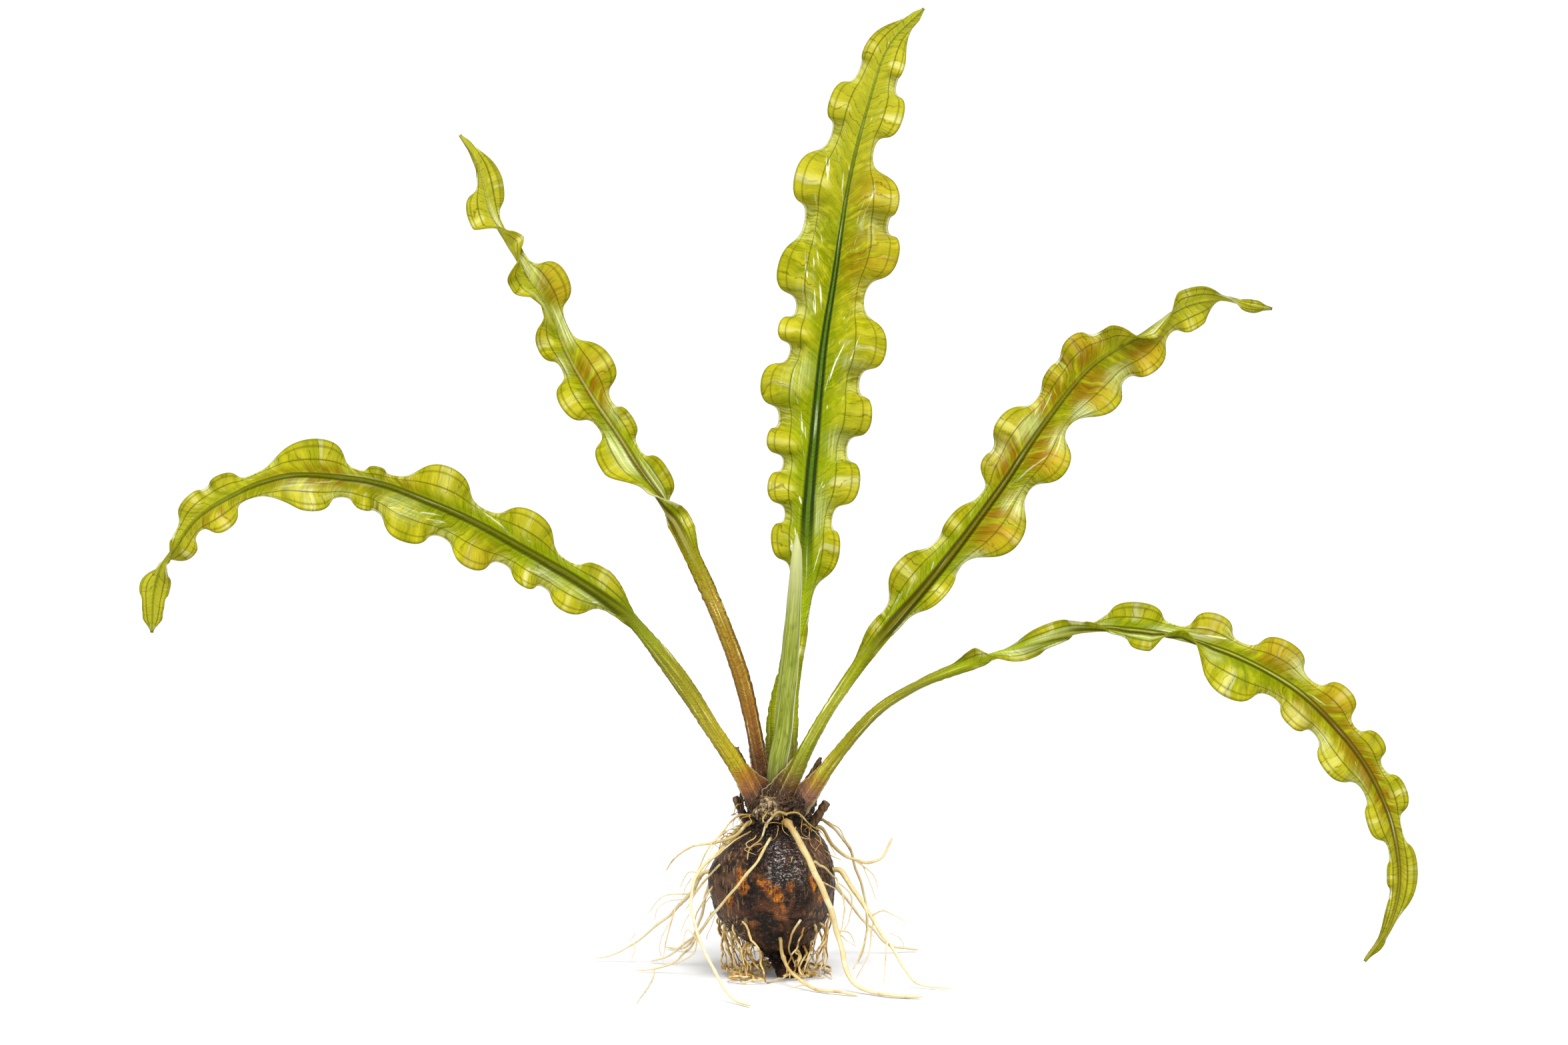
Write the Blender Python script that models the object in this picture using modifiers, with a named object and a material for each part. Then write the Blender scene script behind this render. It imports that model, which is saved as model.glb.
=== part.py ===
# Aponogeton: an uprooted aquarium plant that stands on its bulb and splayed roots.
# The origin is the middle of the bulb's flat tip, on the surface it stands on. +X is the
# plant's right, +Y its back and +Z up. Places and sizes below are in millimetres.
import math

import bmesh
import bpy
import numpy as np

MM = 0.001
NAME = "aponogeton"

# Height, centre across and radius of the bulb, from its tip to the crown where the leaves start
BULB_RINGS = [
    (0.0, 0.0, 2.2), (1.8, 0.6, 3.1), (3.6, 1.0, 3.9), (5.6, 0.8, 4.6), (7.4, 0.2, 6.4),
    (9.4, -0.8, 8.8), (12.5, -1.4, 11.4), (16.2, -1.5, 13.2), (21.3, -1.5, 14.1),
    (25.2, -1.5, 13.4), (28.8, -1.3, 11.7), (31.6, -0.8, 9.6), (33.8, -0.2, 8.0),
    (35.6, 0.1, 7.2), (37.8, 0.1, 7.5), (39.6, 0.2, 7.9), (40.8, 0.2, 7.3), (41.4, 0.2, 5.6),
]
BULB_SIDES = 24
BULB_LUMP = 0.045

# Grown leaves. midrib: places from the crown to the tip. stalk: distance along the leaf and
# half width. right and left: distance and reach of each edge, a crest and a notch by turns,
# between the top of the stalk and the tip. roll: distance and turn of the face in degrees.
LEAVES = {
    "leaf_far_left": dict(
        midrib=[
            (-6.8, -3.0, 42.7), (-9.7, -4.0, 48.4), (-15.3, -6.0, 57.2), (-20.8, -9.0, 66.4),
            (-27.8, -13.0, 76.5), (-34.0, -17.0, 84.0), (-43.6, -22.0, 91.6),
            (-55.2, -28.0, 99.5), (-66.3, -33.0, 106.5), (-76.2, -38.0, 111.7),
            (-87.6, -42.0, 116.4), (-102.3, -47.0, 118.7), (-110.1, -50.0, 117.8),
            (-117.7, -52.0, 114.8), (-124.9, -54.0, 110.3), (-129.6, -55.0, 104.1),
            (-132.4, -55.0, 100.0), (-134.2, -55.0, 94.3), (-134.7, -55.0, 85.7),
        ],
        stalk=[(0, 2.1), (15, 1.7), (30, 1.7), (38, 2.1), (48, 1.7)],
        right=[
            (48, 1.7), (63, 7.0), (68, 4.0), (85, 10.0), (91, 5.5), (108, 10.0), (115, 4.0),
            (119, 4.6), (122, 3.4), (132, 10.5), (148, 3.0), (152, 5.5), (157, 4.2),
            (161, 5.0), (166, 2.2), (170, 3.2), (174, 1.6), (181, 3.4),
        ],
        left=[
            (47, 1.7), (62, 8.0), (72, 5.0), (75, 7.5), (84, 6.0), (88, 10.5), (100, 6.5),
            (106, 12.0), (116, 6.5), (120, 7.0), (125, 5.0), (133, 9.5), (141, 5.0),
            (145, 5.5), (149, 2.8), (157, 6.5), (163, 2.8), (169, 4.2), (174, 1.6), (179, 3.4),
        ],
        roll=[(0, 10), (40, 15), (80, 30), (120, 30), (150, 20), (162, 0), (173, -90), (182, -180)],
        colour=(0.42, 0.52, 0.03),
    ),
    "leaf_upper_left": dict(
        midrib=[
            (-4.0, 3.6, 45.5), (-5.8, 5.0, 54.7), (-8.3, 7.6, 66.0), (-12.2, 11.0, 77.4),
            (-17.4, 15.0, 88.3), (-23.5, 19.0, 99.2), (-30.8, 24.0, 109.6), (-36.4, 28.0, 118.1),
            (-41.9, 32.0, 125.5), (-47.5, 35.0, 134.9), (-51.6, 38.0, 143.9),
            (-56.4, 40.0, 151.8), (-62.1, 43.0, 160.6), (-65.3, 45.0, 166.7),
            (-67.7, 47.0, 176.3), (-71.9, 48.0, 183.0),
        ],
        stalk=[(0, 1.7), (15, 1.9), (36, 2.4)],
        right=[
            (36, 2.4), (57, 3.4), (63, 2.6), (68, 4.8), (78, 3.0), (84, 5.0), (92, 3.5),
            (98, 8.5), (113, 3.0), (121, 8.5), (129, 3.2), (134, 3.8), (143, 1.8), (149, 4.8),
        ],
        left=[
            (36, 2.4), (62, 3.0), (69, 1.8), (75, 6.5), (88, 3.2), (97, 7.0), (103, 3.0),
            (110, 5.8), (115, 2.2), (125, 4.6), (130, 2.5), (141, 5.5), (151, 2.0), (156, 2.4),
        ],
        roll=[(0, 0), (60, 0), (80, -15), (110, 15), (140, -15), (165, 0)],
        colour=(0.40, 0.47, 0.04),
    ),
    "leaf_centre": dict(
        midrib=[
            (0.9, 5.0, 46.4), (1.2, 7.0, 61.1), (4.0, 9.0, 75.8), (5.5, 11.0, 86.2),
            (6.1, 14.0, 100.9), (7.7, 18.0, 119.1), (9.6, 22.0, 137.7), (12.3, 26.0, 154.8),
            (15.4, 31.0, 174.3), (19.6, 35.0, 190.8), (24.2, 38.0, 203.9), (32.1, 40.0, 212.1),
        ],
        stalk=[(0, 2.8), (10, 3.6), (20, 3.2), (30, 2.5)],
        right=[
            (30, 2.5), (48, 7.5), (54, 6.0), (62, 11.5), (70, 8.2), (79, 12.8), (86, 9.0),
            (95, 14.0), (104, 8.0), (116, 13.8), (123, 10.8), (128, 11.8), (139, 4.8),
            (150, 8.2), (156, 5.0), (162, 5.5),
        ],
        left=[
            (30, 2.5), (52, 8.0), (56, 5.2), (61, 9.5), (67, 6.8), (72, 10.5), (78, 8.5),
            (85, 13.0), (92, 8.0), (98, 11.3), (103, 8.0), (111, 13.0), (123, 9.0),
            (131, 13.0), (143, 7.0), (147, 8.8), (153, 5.3), (159, 5.5),
        ],
        roll=[(0, 0), (175, 0)],
        colour=(0.36, 0.52, 0.03),
    ),
    "leaf_upper_right": dict(
        midrib=[
            (2.2, -3.5, 44.0), (6.2, -1.0, 52.1), (12.0, 4.0, 61.3), (21.3, 10.0, 73.4),
            (34.7, 17.0, 87.9), (48.3, 24.0, 104.9), (59.5, 30.0, 120.6), (69.9, 35.0, 132.4),
            (81.7, 40.0, 139.1), (90.0, 43.0, 144.4), (99.0, 46.0, 146.1), (105.1, 48.0, 144.5),
            (110.9, 50.0, 143.5),
        ],
        stalk=[(0, 2.0), (10, 1.6), (24, 1.6), (36, 2.6)],
        right=[
            (36, 2.6), (56, 6.0), (67, 5.0), (78, 10.5), (85, 6.5), (97, 9.5), (103, 5.6),
            (115, 9.8), (123, 6.2), (132, 8.2), (138, 4.2), (145, 6.0), (153, 1.6), (161, 2.2),
        ],
        left=[
            (36, 2.8), (50, 7.6), (60, 5.0), (68, 5.5), (77, 3.6), (84, 6.8), (89, 5.5),
            (94, 9.5), (103, 5.0), (108, 7.4), (113, 5.8), (118, 8.0), (123, 5.2), (127, 5.8),
            (134, 2.4), (147, 4.5), (156, 1.4), (161, 2.0),
        ],
        roll=[(0, 0), (50, 10), (90, -5), (130, 10), (148, 0), (157, 90), (163, 170)],
        colour=(0.50, 0.47, 0.03),
    ),
    "leaf_far_right": dict(
        midrib=[
            (6.8, -4.6, 42.0), (12.0, -6.0, 50.1), (21.1, -9.0, 61.0), (30.8, -12.0, 67.7),
            (39.5, -15.0, 71.8), (48.2, -18.0, 75.3), (56.8, -21.0, 78.5), (66.0, -24.0, 81.4),
            (75.5, -27.0, 82.0), (87.1, -30.0, 80.6), (100.2, -33.0, 76.6),
            (113.4, -36.0, 69.1), (125.3, -39.0, 56.5), (132.0, -41.0, 43.4),
            (134.3, -42.0, 30.1), (132.1, -42.0, 19.2), (127.0, -42.0, 11.5),
        ],
        stalk=[(0, 1.9), (12, 1.5), (30, 1.2), (44, 1.6)],
        right=[
            (44, 1.6), (50, 2.6), (57, 1.8), (62, 3.0), (69, 1.8), (80, 3.4), (85, 2.2),
            (93, 6.0), (99, 3.6), (115, 10.0), (122, 5.0), (131, 8.5), (137, 5.0),
            (146, 8.8), (154, 3.2), (161, 5.4), (167, 2.4), (175, 3.2), (180, 2.0), (187, 2.6),
        ],
        left=[
            (44, 1.6), (52, 3.0), (58, 1.8), (72, 3.6), (79, 2.0), (88, 7.5), (97, 4.2),
            (104, 8.5), (112, 4.5), (119, 9.5), (128, 5.5), (135, 9.0), (141, 5.0),
            (147, 7.0), (151, 4.0), (157, 6.5), (164, 3.0), (173, 5.0), (180, 3.0), (185, 3.0),
        ],
        roll=[(0, -10), (46, 0), (57, 60), (66, 0), (76, -50), (90, -25), (140, -15), (195, 0)],
        colour=(0.46, 0.50, 0.03),
    ),
}
LEAF_ROWS = 58
LEAF_ACROSS = (-1.0, -0.48, 0.0, 0.48, 1.0)
STALK_THICK = 2.6
RIDGE_THICK = 1.9
TIP_THICK = 0.7
BLADE_THICK = 0.55
STALK_EDGE = 0.45
RUFFLE = 0.34
LEAN = 0.55

# Young leaf, still rolled: place and radius from its foot to its tip
YOUNG_LEAF = [
    (-0.9, -0.4, 43.2, 2.2), (-0.4, -0.4, 49.0, 2.3), (0.6, -0.4, 54.5, 2.2), (1.2, -0.2, 61.0, 2.1),
    (1.9, -0.4, 68.5, 2.1), (2.4, -0.5, 75.5, 2.0), (2.9, -0.7, 82.5, 1.7),
    (3.4, -0.8, 89.5, 1.5), (3.7, -0.9, 95.5, 1.1), (3.7, -0.9, 99.6, 0.3),
]

# Main roots: places from the bulb outwards, then the radius at the bulb and at the tip
ROOTS = {
    "root_front_right": ([
        (1.9, -9.4, 36.0), (4.7, -12.6, 31.8), (7.5, -14.8, 26.5), (9.8, -15.4, 21.6),
        (11.6, -15.2, 16.6), (12.9, -15.4, 11.6), (14.0, -16.6, 7.0), (15.6, -18.6, 2.8),
        (19.0, -21.0, 0.9), (25.0, -25.4, 0.8), (31.6, -26.8, 0.6),
    ], 0.95, 0.55),
    "root_tip_front": ([
        (0.2, -10.3, 10.2), (0.6, -10.9, 6.6), (3.2, -14.0, 2.8), (7.0, -17.8, 0.9),
        (11.6, -21.0, 0.8), (17.5, -23.8, 0.6),
    ], 0.75, 0.5),
    "root_right_low": ([
        (13.4, -3.0, 24.4), (15.8, -4.6, 21.2), (18.9, -6.8, 17.2), (21.6, -9.0, 12.8),
        (25.0, -11.2, 8.0), (27.6, -13.0, 3.8), (30.6, -14.4, 1.0), (38.2, -16.6, 0.5),
    ], 0.9, 0.4),
    "root_right_up": ([
        (9.3, -1.0, 33.6), (11.8, 0.0, 29.6), (15.5, 2.0, 26.4), (19.5, 3.0, 25.2),
        (22.4, 4.0, 26.0), (24.0, 5.0, 28.1), (25.0, 5.0, 30.5),
    ], 0.7, 0.45),
    "root_right_back": ([
        (8.6, 3.0, 35.4), (12.7, 6.0, 31.5), (15.6, 9.0, 26.8), (17.2, 11.0, 21.3),
        (18.8, 12.6, 15.7), (19.5, 13.4, 9.5), (18.6, 13.6, 3.6), (17.6, 14.6, 0.5),
    ], 0.55, 0.35),
    "root_left_pale": ([
        (-7.3, -5.6, 35.4), (-9.9, -7.0, 33.0), (-15.0, -5.6, 31.0), (-19.5, -4.0, 30.0),
        (-22.9, -2.0, 27.6), (-25.3, 0.0, 23.8),
    ], 0.6, 0.35),
    "root_left_front": ([
        (-10.9, -4.2, 31.4), (-13.8, -7.8, 29.0), (-16.8, -11.2, 26.8), (-18.8, -14.6, 24.2),
        (-19.6, -18.0, 20.4), (-19.0, -21.4, 16.6), (-17.2, -24.6, 12.2), (-14.8, -27.0, 7.4),
        (-12.4, -29.0, 3.0), (-9.5, -32.0, 0.8), (-6.4, -37.0, 0.6),
    ], 0.7, 0.55),
    "root_left_far": ([
        (-16.9, 2.2, 23.0), (-19.6, 5.4, 18.2), (-23.1, 9.0, 13.6), (-27.8, 12.4, 9.0),
        (-32.9, 15.0, 4.6), (-37.1, 16.4, 1.9), (-41.8, 17.0, 0.5),
    ], 0.7, 0.35),
    "root_left_orange": ([
        (-2.4, -11.0, 32.6), (-5.3, -14.6, 28.2), (-8.8, -15.0, 23.8), (-12.8, -13.0, 18.6),
        (-16.4, -9.0, 13.8), (-19.0, -4.4, 9.0), (-21.2, -0.6, 5.4), (-24.2, 2.2, 2.4),
        (-28.0, 3.8, 1.0), (-32.2, 4.4, 0.6),
    ], 0.6, 0.5),
    "root_left_low": ([
        (-14.4, 5.4, 13.6), (-16.9, 7.6, 10.0), (-20.4, 10.2, 6.0), (-24.8, 12.8, 2.4),
        (-28.9, 15.4, 0.6),
    ], 0.55, 0.35),
    "root_back_left": ([
        (-6.2, 8.6, 34.0), (-10.0, 12.8, 30.6), (-13.4, 16.4, 25.2), (-15.6, 19.6, 18.6),
        (-17.2, 22.6, 11.6), (-19.0, 25.6, 5.2), (-21.6, 28.4, 1.1), (-26.0, 32.0, 0.6),
    ], 0.8, 0.45),
    "root_back_middle": ([
        (-0.6, 9.6, 34.6), (-1.4, 14.0, 31.4), (-2.2, 17.0, 26.0), (-1.6, 18.6, 19.6),
        (0.2, 20.4, 12.8), (2.4, 23.6, 6.4), (4.4, 27.8, 1.6), (5.8, 34.0, 0.7),
    ], 0.85, 0.5),
    "root_back_right": ([
        (6.2, 11.2, 27.8), (8.8, 14.8, 24.0), (11.8, 18.6, 18.4), (15.6, 22.0, 12.4),
        (20.2, 24.6, 6.6), (25.2, 26.6, 1.9), (31.4, 29.0, 0.6),
    ], 0.75, 0.45),
    "root_back_low": ([
        (-6.8, 12.6, 17.4), (-9.2, 15.6, 13.2), (-10.6, 18.0, 8.4), (-10.4, 20.2, 3.8),
        (-8.6, 23.2, 0.9), (-4.6, 27.4, 0.5),
    ], 0.6, 0.4),
}
ROOT_STEPS = 12

# Tufts of fine rootlets that fill the space under the bulb: start and end angle round it
TUFTS = {
    "rootlets_left": (128, 232),
    "rootlets_right": (-58, 36),
    "rootlets_back": (52, 116),
}
TUFT_TOP = (9.4, 7.6)
TUFT_FOOT = (11.8, 0.3)
TUFT_THICK = 1.6
TUFT_PLEAT = 0.7

# Papery scales at the crown: foot, tip, width at the foot
SCALES = {
    "sheath_left": ((-6.4, -0.4, 43.0), (-9.6, -1.2, 51.8), 3.6),
    "sheath_right": ((5.4, -0.8, 43.0), (9.0, -1.8, 49.6), 3.2),
}
SCALE_THICK = 0.4

# Cut-off stalks of old leaves at the neck: foot, cut end, radius
STUBS = {
    "old_stalk_left": ((-8.6, -0.6, 36.4), (-9.9, -0.8, 40.6), 0.9),
    "old_stalk_right": ((8.6, -1.6, 36.2), (10.3, -2.2, 39.6), 1.0),
}


def material(name, colour, roughness):
    made = bpy.data.materials.new(name)
    made.use_nodes = True
    made.diffuse_color = (*colour, 1.0)
    shader = made.node_tree.nodes["Principled BSDF"]
    shader.inputs["Base Color"].default_value = (*colour, 1.0)
    shader.inputs["Roughness"].default_value = roughness
    shader.inputs["Metallic"].default_value = 0.0
    return made


def add_object(name, data, collection, look):
    made = bpy.data.objects.new(name, data)
    data.materials.append(look)
    collection.objects.link(made)
    return made


def smooth_path(points, steps):
    """Evenly spaced places on a smooth curve through the points, and their distances along it."""
    points = np.array(points, float)
    padded = np.vstack([2 * points[0] - points[1], points, 2 * points[-1] - points[-2]])
    fine = []
    for before, start, end, after in zip(padded, padded[1:], padded[2:], padded[3:]):
        for u in np.linspace(0, 1, 16, endpoint=False):
            fine.append(0.5 * (
                2 * start + (end - before) * u
                + (2 * before - 5 * start + 4 * end - after) * u ** 2
                + (3 * start - before - 3 * end + after) * u ** 3
            ))
    fine = np.array(fine + [points[-1]])
    spans = np.linalg.norm(np.diff(fine, axis=0), axis=1)
    run = np.concatenate([[0.0], np.cumsum(spans)])
    distance = np.linspace(0.0, run[-1], steps)
    places = [np.interp(distance, run, fine[:, axis]) for axis in range(points.shape[1])]
    return np.stack(places, axis=1), distance


def unit(vectors):
    return vectors / np.linalg.norm(vectors, axis=-1, keepdims=True)


def leaf_frame(path, turn):
    """Directions across the leaf and out of its face, which looks at the front before it turns."""
    along = unit(np.gradient(path, axis=0))
    front = np.array([0.0, -1.0, 0.0])
    face = unit(front - along * (along @ front)[:, None])
    across = np.cross(along, face)
    cos, sin = np.cos(turn)[:, None], np.sin(turn)[:, None]
    return across * cos - face * sin, face * cos + across * sin


def edge(marks, length, at):
    """Reach of one edge at each distance, its mean reach, its swing from -1 in a notch to 1
    on a crest, and how far its crests lean over the notches."""
    distance = np.array([mark[0] for mark in marks] + [length], float)
    reach = np.array([mark[1] for mark in marks] + [0.15], float)
    phase = np.interp(at, distance, np.pi * np.arange(len(distance)))
    share = phase / np.pi - np.floor(np.minimum(phase / np.pi, len(distance) - 1.001))
    step = np.minimum((phase / np.pi).astype(int), len(distance) - 2)
    blend = 0.5 - 0.5 * np.cos(np.pi * np.clip(share, 0.0, 1.0))
    outline = reach[step] + (reach[step + 1] - reach[step]) * blend
    middles = (distance[1:] + distance[:-1]) / 2
    mean = np.interp(at, middles, (reach[1:] + reach[:-1]) / 2)
    swing = -np.cos(phase)
    lean = -np.sin(phase) * LEAN * np.diff(distance)[step] / np.pi
    inside = (at > distance[0]) & (at < length)
    return outline, np.minimum(mean, length - at + 0.15), swing * inside, lean * inside


def leaf(name, plan, collection):
    """One leaf, stalk and blade: a grid bent along the midrib, ruffled at its edges and solidified."""
    path, distance = smooth_path(plan["midrib"], 400)
    length = distance[-1]
    roll = np.radians(np.interp(distance, *zip(*plan["roll"])))
    across, face = leaf_frame(path, roll)
    mesh = bpy.data.meshes.new(name)
    grid = bmesh.new()
    bmesh.ops.create_grid(
        grid, x_segments=LEAF_ROWS - 1, y_segments=len(LEAF_ACROSS) - 1, size=1.0
    )
    grid.verts.ensure_lookup_table()
    flat = np.array([vertex.co[:] for vertex in grid.verts])
    at = (flat[:, 0] + 1) / 2 * length
    side = np.interp(flat[:, 1], np.linspace(-1, 1, len(LEAF_ACROSS)), LEAF_ACROSS)
    out = np.abs(side)
    stalk_top = plan["right"][0][0]
    stalk = np.interp(at, *zip(*plan["stalk"]))
    moved = np.zeros(len(at))
    width = np.zeros(len(at))
    lift = np.zeros(len(at))
    for sign, marks in ((1, plan["right"]), (-1, plan["left"])):
        outline, mean, swing, lean = edge(marks, length, at)
        on_side = np.sign(side) == sign
        blade = at > stalk_top
        reach = np.where(blade, mean * (1 - out ** 2) + outline * out ** 2, stalk)
        width += np.where(on_side, sign * reach * out, 0.0)
        lift += np.where(on_side & blade, RUFFLE * mean * swing * out ** 2, 0.0)
        moved += np.where(on_side & blade, lean * out ** 2, 0.0)
    where = np.clip(at + moved, 0, length)

    def read(values):
        return np.stack([np.interp(where, distance, values[:, axis]) for axis in range(3)], axis=1)

    places = read(path) + read(across) * width[:, None] + read(face) * lift[:, None]
    for vertex, place in zip(grid.verts, places):
        vertex.co = place * MM
    grid.to_mesh(mesh)
    grid.free()

    fade = np.clip((at - stalk_top + 12) / 24, 0, 1)
    ridge = STALK_THICK + (RIDGE_THICK - STALK_THICK) * fade
    ridge = ridge + (TIP_THICK - ridge) * np.clip((at - stalk_top) / (length - stalk_top), 0, 1)
    flank = STALK_THICK * (1 - (1 - STALK_EDGE) * out) * (1 - fade) + BLADE_THICK * fade
    thick = np.where(out < 0.1, ridge, np.minimum(flank, ridge))
    made = add_object(name, mesh, collection, material(name, plan["colour"], 0.35))
    group = made.vertex_groups.new(name="thickness")
    for index, value in enumerate(thick / STALK_THICK):
        group.add([index], float(value), "REPLACE")
    shell = made.modifiers.new("thickness", "SOLIDIFY")
    shell.thickness = STALK_THICK * MM
    shell.offset = 0.0
    shell.vertex_group = group.name
    mesh.shade_smooth()
    return made


def tube(name, places, radii, collection, look):
    """A tapering round strand along the places, with closed ends."""
    curve = bpy.data.curves.new(name, "CURVE")
    curve.dimensions = "3D"
    curve.bevel_depth = MM
    curve.bevel_resolution = 1
    curve.use_fill_caps = True
    strand = curve.splines.new("POLY")
    strand.points.add(len(places) - 1)
    strand.use_smooth = True
    for point, place, radius in zip(strand.points, places, radii):
        point.co = (*(np.array(place) * MM), 1.0)
        point.radius = float(radius)
    return add_object(name, curve, collection, look)


def bulb(collection):
    """The tuber, its neck and crown: a sphere drawn out along its rings, with soft lumps."""
    mesh = bpy.data.meshes.new("bulb")
    body = bmesh.new()
    rings = len(BULB_RINGS)
    bmesh.ops.create_uvsphere(body, u_segments=BULB_SIDES, v_segments=rings + 1, radius=1.0)
    height, middle, radius = (np.array(column) for column in zip(*BULB_RINGS))
    for vertex in body.verts:
        polar = math.acos(max(-1.0, min(1.0, -vertex.co.z))) / math.pi * (rings + 1)
        place = min(max(polar - 1, 0), rings - 1)
        around = math.atan2(vertex.co.y, vertex.co.x)
        z = float(np.interp(place, range(rings), height))
        x = float(np.interp(place, range(rings), middle))
        r = float(np.interp(place, range(rings), radius))
        lump = math.sin(3 * around + 0.25 * z) + 0.7 * math.sin(5 * around - 0.4 * z + 1)
        swell = BULB_LUMP * lump * math.sin(math.pi * min(z / height[-1], 1.0))
        r *= (1 + swell) if 0.5 < polar < rings + 0.5 else 0.0
        vertex.co = ((x + r * math.cos(around)) * MM, r * math.sin(around) * MM, z * MM)
    body.to_mesh(mesh)
    body.free()
    mesh.shade_smooth()
    return add_object("bulb", mesh, collection, material("bulb skin", (0.045, 0.028, 0.020), 0.4))


def tuft(name, start, end, collection, look):
    """A pleated skirt of rootlets, from the underside of the bulb down to the surface."""
    columns = max(6, round((end - start) / 9))
    mesh = bpy.data.meshes.new(name)
    skirt = bmesh.new()
    bmesh.ops.create_grid(skirt, x_segments=columns, y_segments=3, size=1.0)
    centre = BULB_RINGS[4][1]
    for vertex in skirt.verts:
        share = (vertex.co.x + 1) / 2
        down = (1 - vertex.co.y) / 2
        angle = math.radians(start + (end - start) * share)
        pleat = TUFT_PLEAT * (-1) ** round(share * columns) * down
        r = TUFT_TOP[0] + (TUFT_FOOT[0] - TUFT_TOP[0]) * down + pleat
        z = TUFT_TOP[1] + (TUFT_FOOT[1] - TUFT_TOP[1]) * down
        vertex.co = ((centre + r * math.cos(angle)) * MM, r * math.sin(angle) * MM, z * MM)
    skirt.to_mesh(mesh)
    skirt.free()
    made = add_object(name, mesh, collection, look)
    shell = made.modifiers.new("thickness", "SOLIDIFY")
    shell.thickness = TUFT_THICK * MM
    shell.offset = 0.0
    return made


def scale(name, foot, tip, wide, collection, look):
    """A papery leaf-base scale that narrows to its tip."""
    mesh = bpy.data.meshes.new(name)
    sheet = bmesh.new()
    bmesh.ops.create_grid(sheet, x_segments=5, y_segments=2, size=1.0)
    foot, tip = np.array(foot), np.array(tip)
    for vertex in sheet.verts:
        share = (vertex.co.x + 1) / 2
        middle = foot + (tip - foot) * share
        half = wide / 2 * (1 - share) ** 0.8 + 0.2
        bow = 0.5 * (1 - vertex.co.y ** 2) * (1 - share)
        vertex.co = (middle + np.array([half * vertex.co.y, bow, 0.0])) * MM
    sheet.to_mesh(mesh)
    sheet.free()
    made = add_object(name, mesh, collection, look)
    shell = made.modifiers.new("thickness", "SOLIDIFY")
    shell.thickness = SCALE_THICK * MM
    shell.offset = 0.0
    return made


def main():
    for old in list(bpy.data.objects):
        bpy.data.objects.remove(old, do_unlink=True)
    collection = bpy.data.collections.new(NAME)
    bpy.context.scene.collection.children.link(collection)

    bulb(collection)
    for name, plan in LEAVES.items():
        leaf(name, plan, collection)

    green = material("young leaf", (0.36, 0.44, 0.12), 0.4)
    tube("leaf_young", [row[:3] for row in YOUNG_LEAF], [row[3] for row in YOUNG_LEAF],
         collection, green)

    cream = material("root", (0.62, 0.45, 0.20), 0.5)
    for name, (route, start_radius, tip_radius) in ROOTS.items():
        places, _ = smooth_path(route, ROOT_STEPS)
        radii = np.linspace(start_radius, tip_radius, ROOT_STEPS)
        tube(name, places, radii, collection, cream)
    for name, (start, end) in TUFTS.items():
        tuft(name, start, end, collection, cream)

    papery = material("papery scale", (0.16, 0.09, 0.05), 0.6)
    for name, (foot, tip, wide) in SCALES.items():
        scale(name, foot, tip, wide, collection, papery)
    old = material("old stalk", (0.07, 0.05, 0.02), 0.6)
    for name, (foot, cut, radius) in STUBS.items():
        places, _ = smooth_path([foot, cut], 3)
        tube(name, places, [radius] * 3, collection, old)


main()
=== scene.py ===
"""Aponogeton: an uprooted aquarium plant with ruffled leaves, a dark tuber and fine roots."""
import math

import bmesh
import bpy
import numpy as np
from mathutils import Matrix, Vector, noise


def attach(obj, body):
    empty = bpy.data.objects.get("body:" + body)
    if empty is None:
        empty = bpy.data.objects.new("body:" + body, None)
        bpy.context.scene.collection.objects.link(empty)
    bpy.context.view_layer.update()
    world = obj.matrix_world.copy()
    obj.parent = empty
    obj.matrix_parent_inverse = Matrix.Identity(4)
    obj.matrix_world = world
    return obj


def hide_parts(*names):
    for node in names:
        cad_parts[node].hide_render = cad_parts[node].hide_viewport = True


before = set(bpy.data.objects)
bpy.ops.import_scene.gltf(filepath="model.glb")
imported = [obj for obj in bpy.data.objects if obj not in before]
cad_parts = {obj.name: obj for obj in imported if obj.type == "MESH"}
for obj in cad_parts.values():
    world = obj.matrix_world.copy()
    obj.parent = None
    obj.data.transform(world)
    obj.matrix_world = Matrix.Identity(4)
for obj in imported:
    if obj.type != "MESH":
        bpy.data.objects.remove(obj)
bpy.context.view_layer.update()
MM = 0.001


# Studio
# A seamless white sweep under even, soft daylight. The plant stands on it with the camera
# slightly above, far enough away that its leaves keep their true proportions.

def linear(code):
    """An sRGB hex colour as the linear red, green, blue and alpha that shaders take."""
    values = [int(code[i:i + 2], 16) / 255 for i in (1, 3, 5)]
    bent = [v / 12.92 if v <= 0.04045 else ((v + 0.055) / 1.055) ** 2.4 for v in values]
    return (*bent, 1.0)


def add_node(tree, kind, inputs=(), **settings):
    """One shader node with its settings, and its inputs as plain values or as links."""
    made = tree.nodes.new("ShaderNode" + kind)
    for key, value in settings.items():
        setattr(made, key, value)
    for key, value in dict(inputs).items():
        if isinstance(value, bpy.types.NodeSocket):
            tree.links.new(value, made.inputs[key])
        else:
            made.inputs[key].default_value = value
    return made


def new_material(name):
    """An empty material, its node tree, and its output node."""
    made = bpy.data.materials.new(name)
    made.use_nodes = True
    made.node_tree.nodes.clear()
    return made, made.node_tree, add_node(made.node_tree, "OutputMaterial")


def add_object(name, data):
    """An object of this mesh, curve, light or camera, placed in the scene."""
    made = bpy.data.objects.new(name, data)
    bpy.context.scene.collection.objects.link(made)
    return made


def as_mesh(name, shape):
    """The finished faces of a bmesh as a named mesh."""
    mesh = bpy.data.meshes.new(name)
    shape.to_mesh(mesh)
    shape.free()
    return mesh


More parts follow.
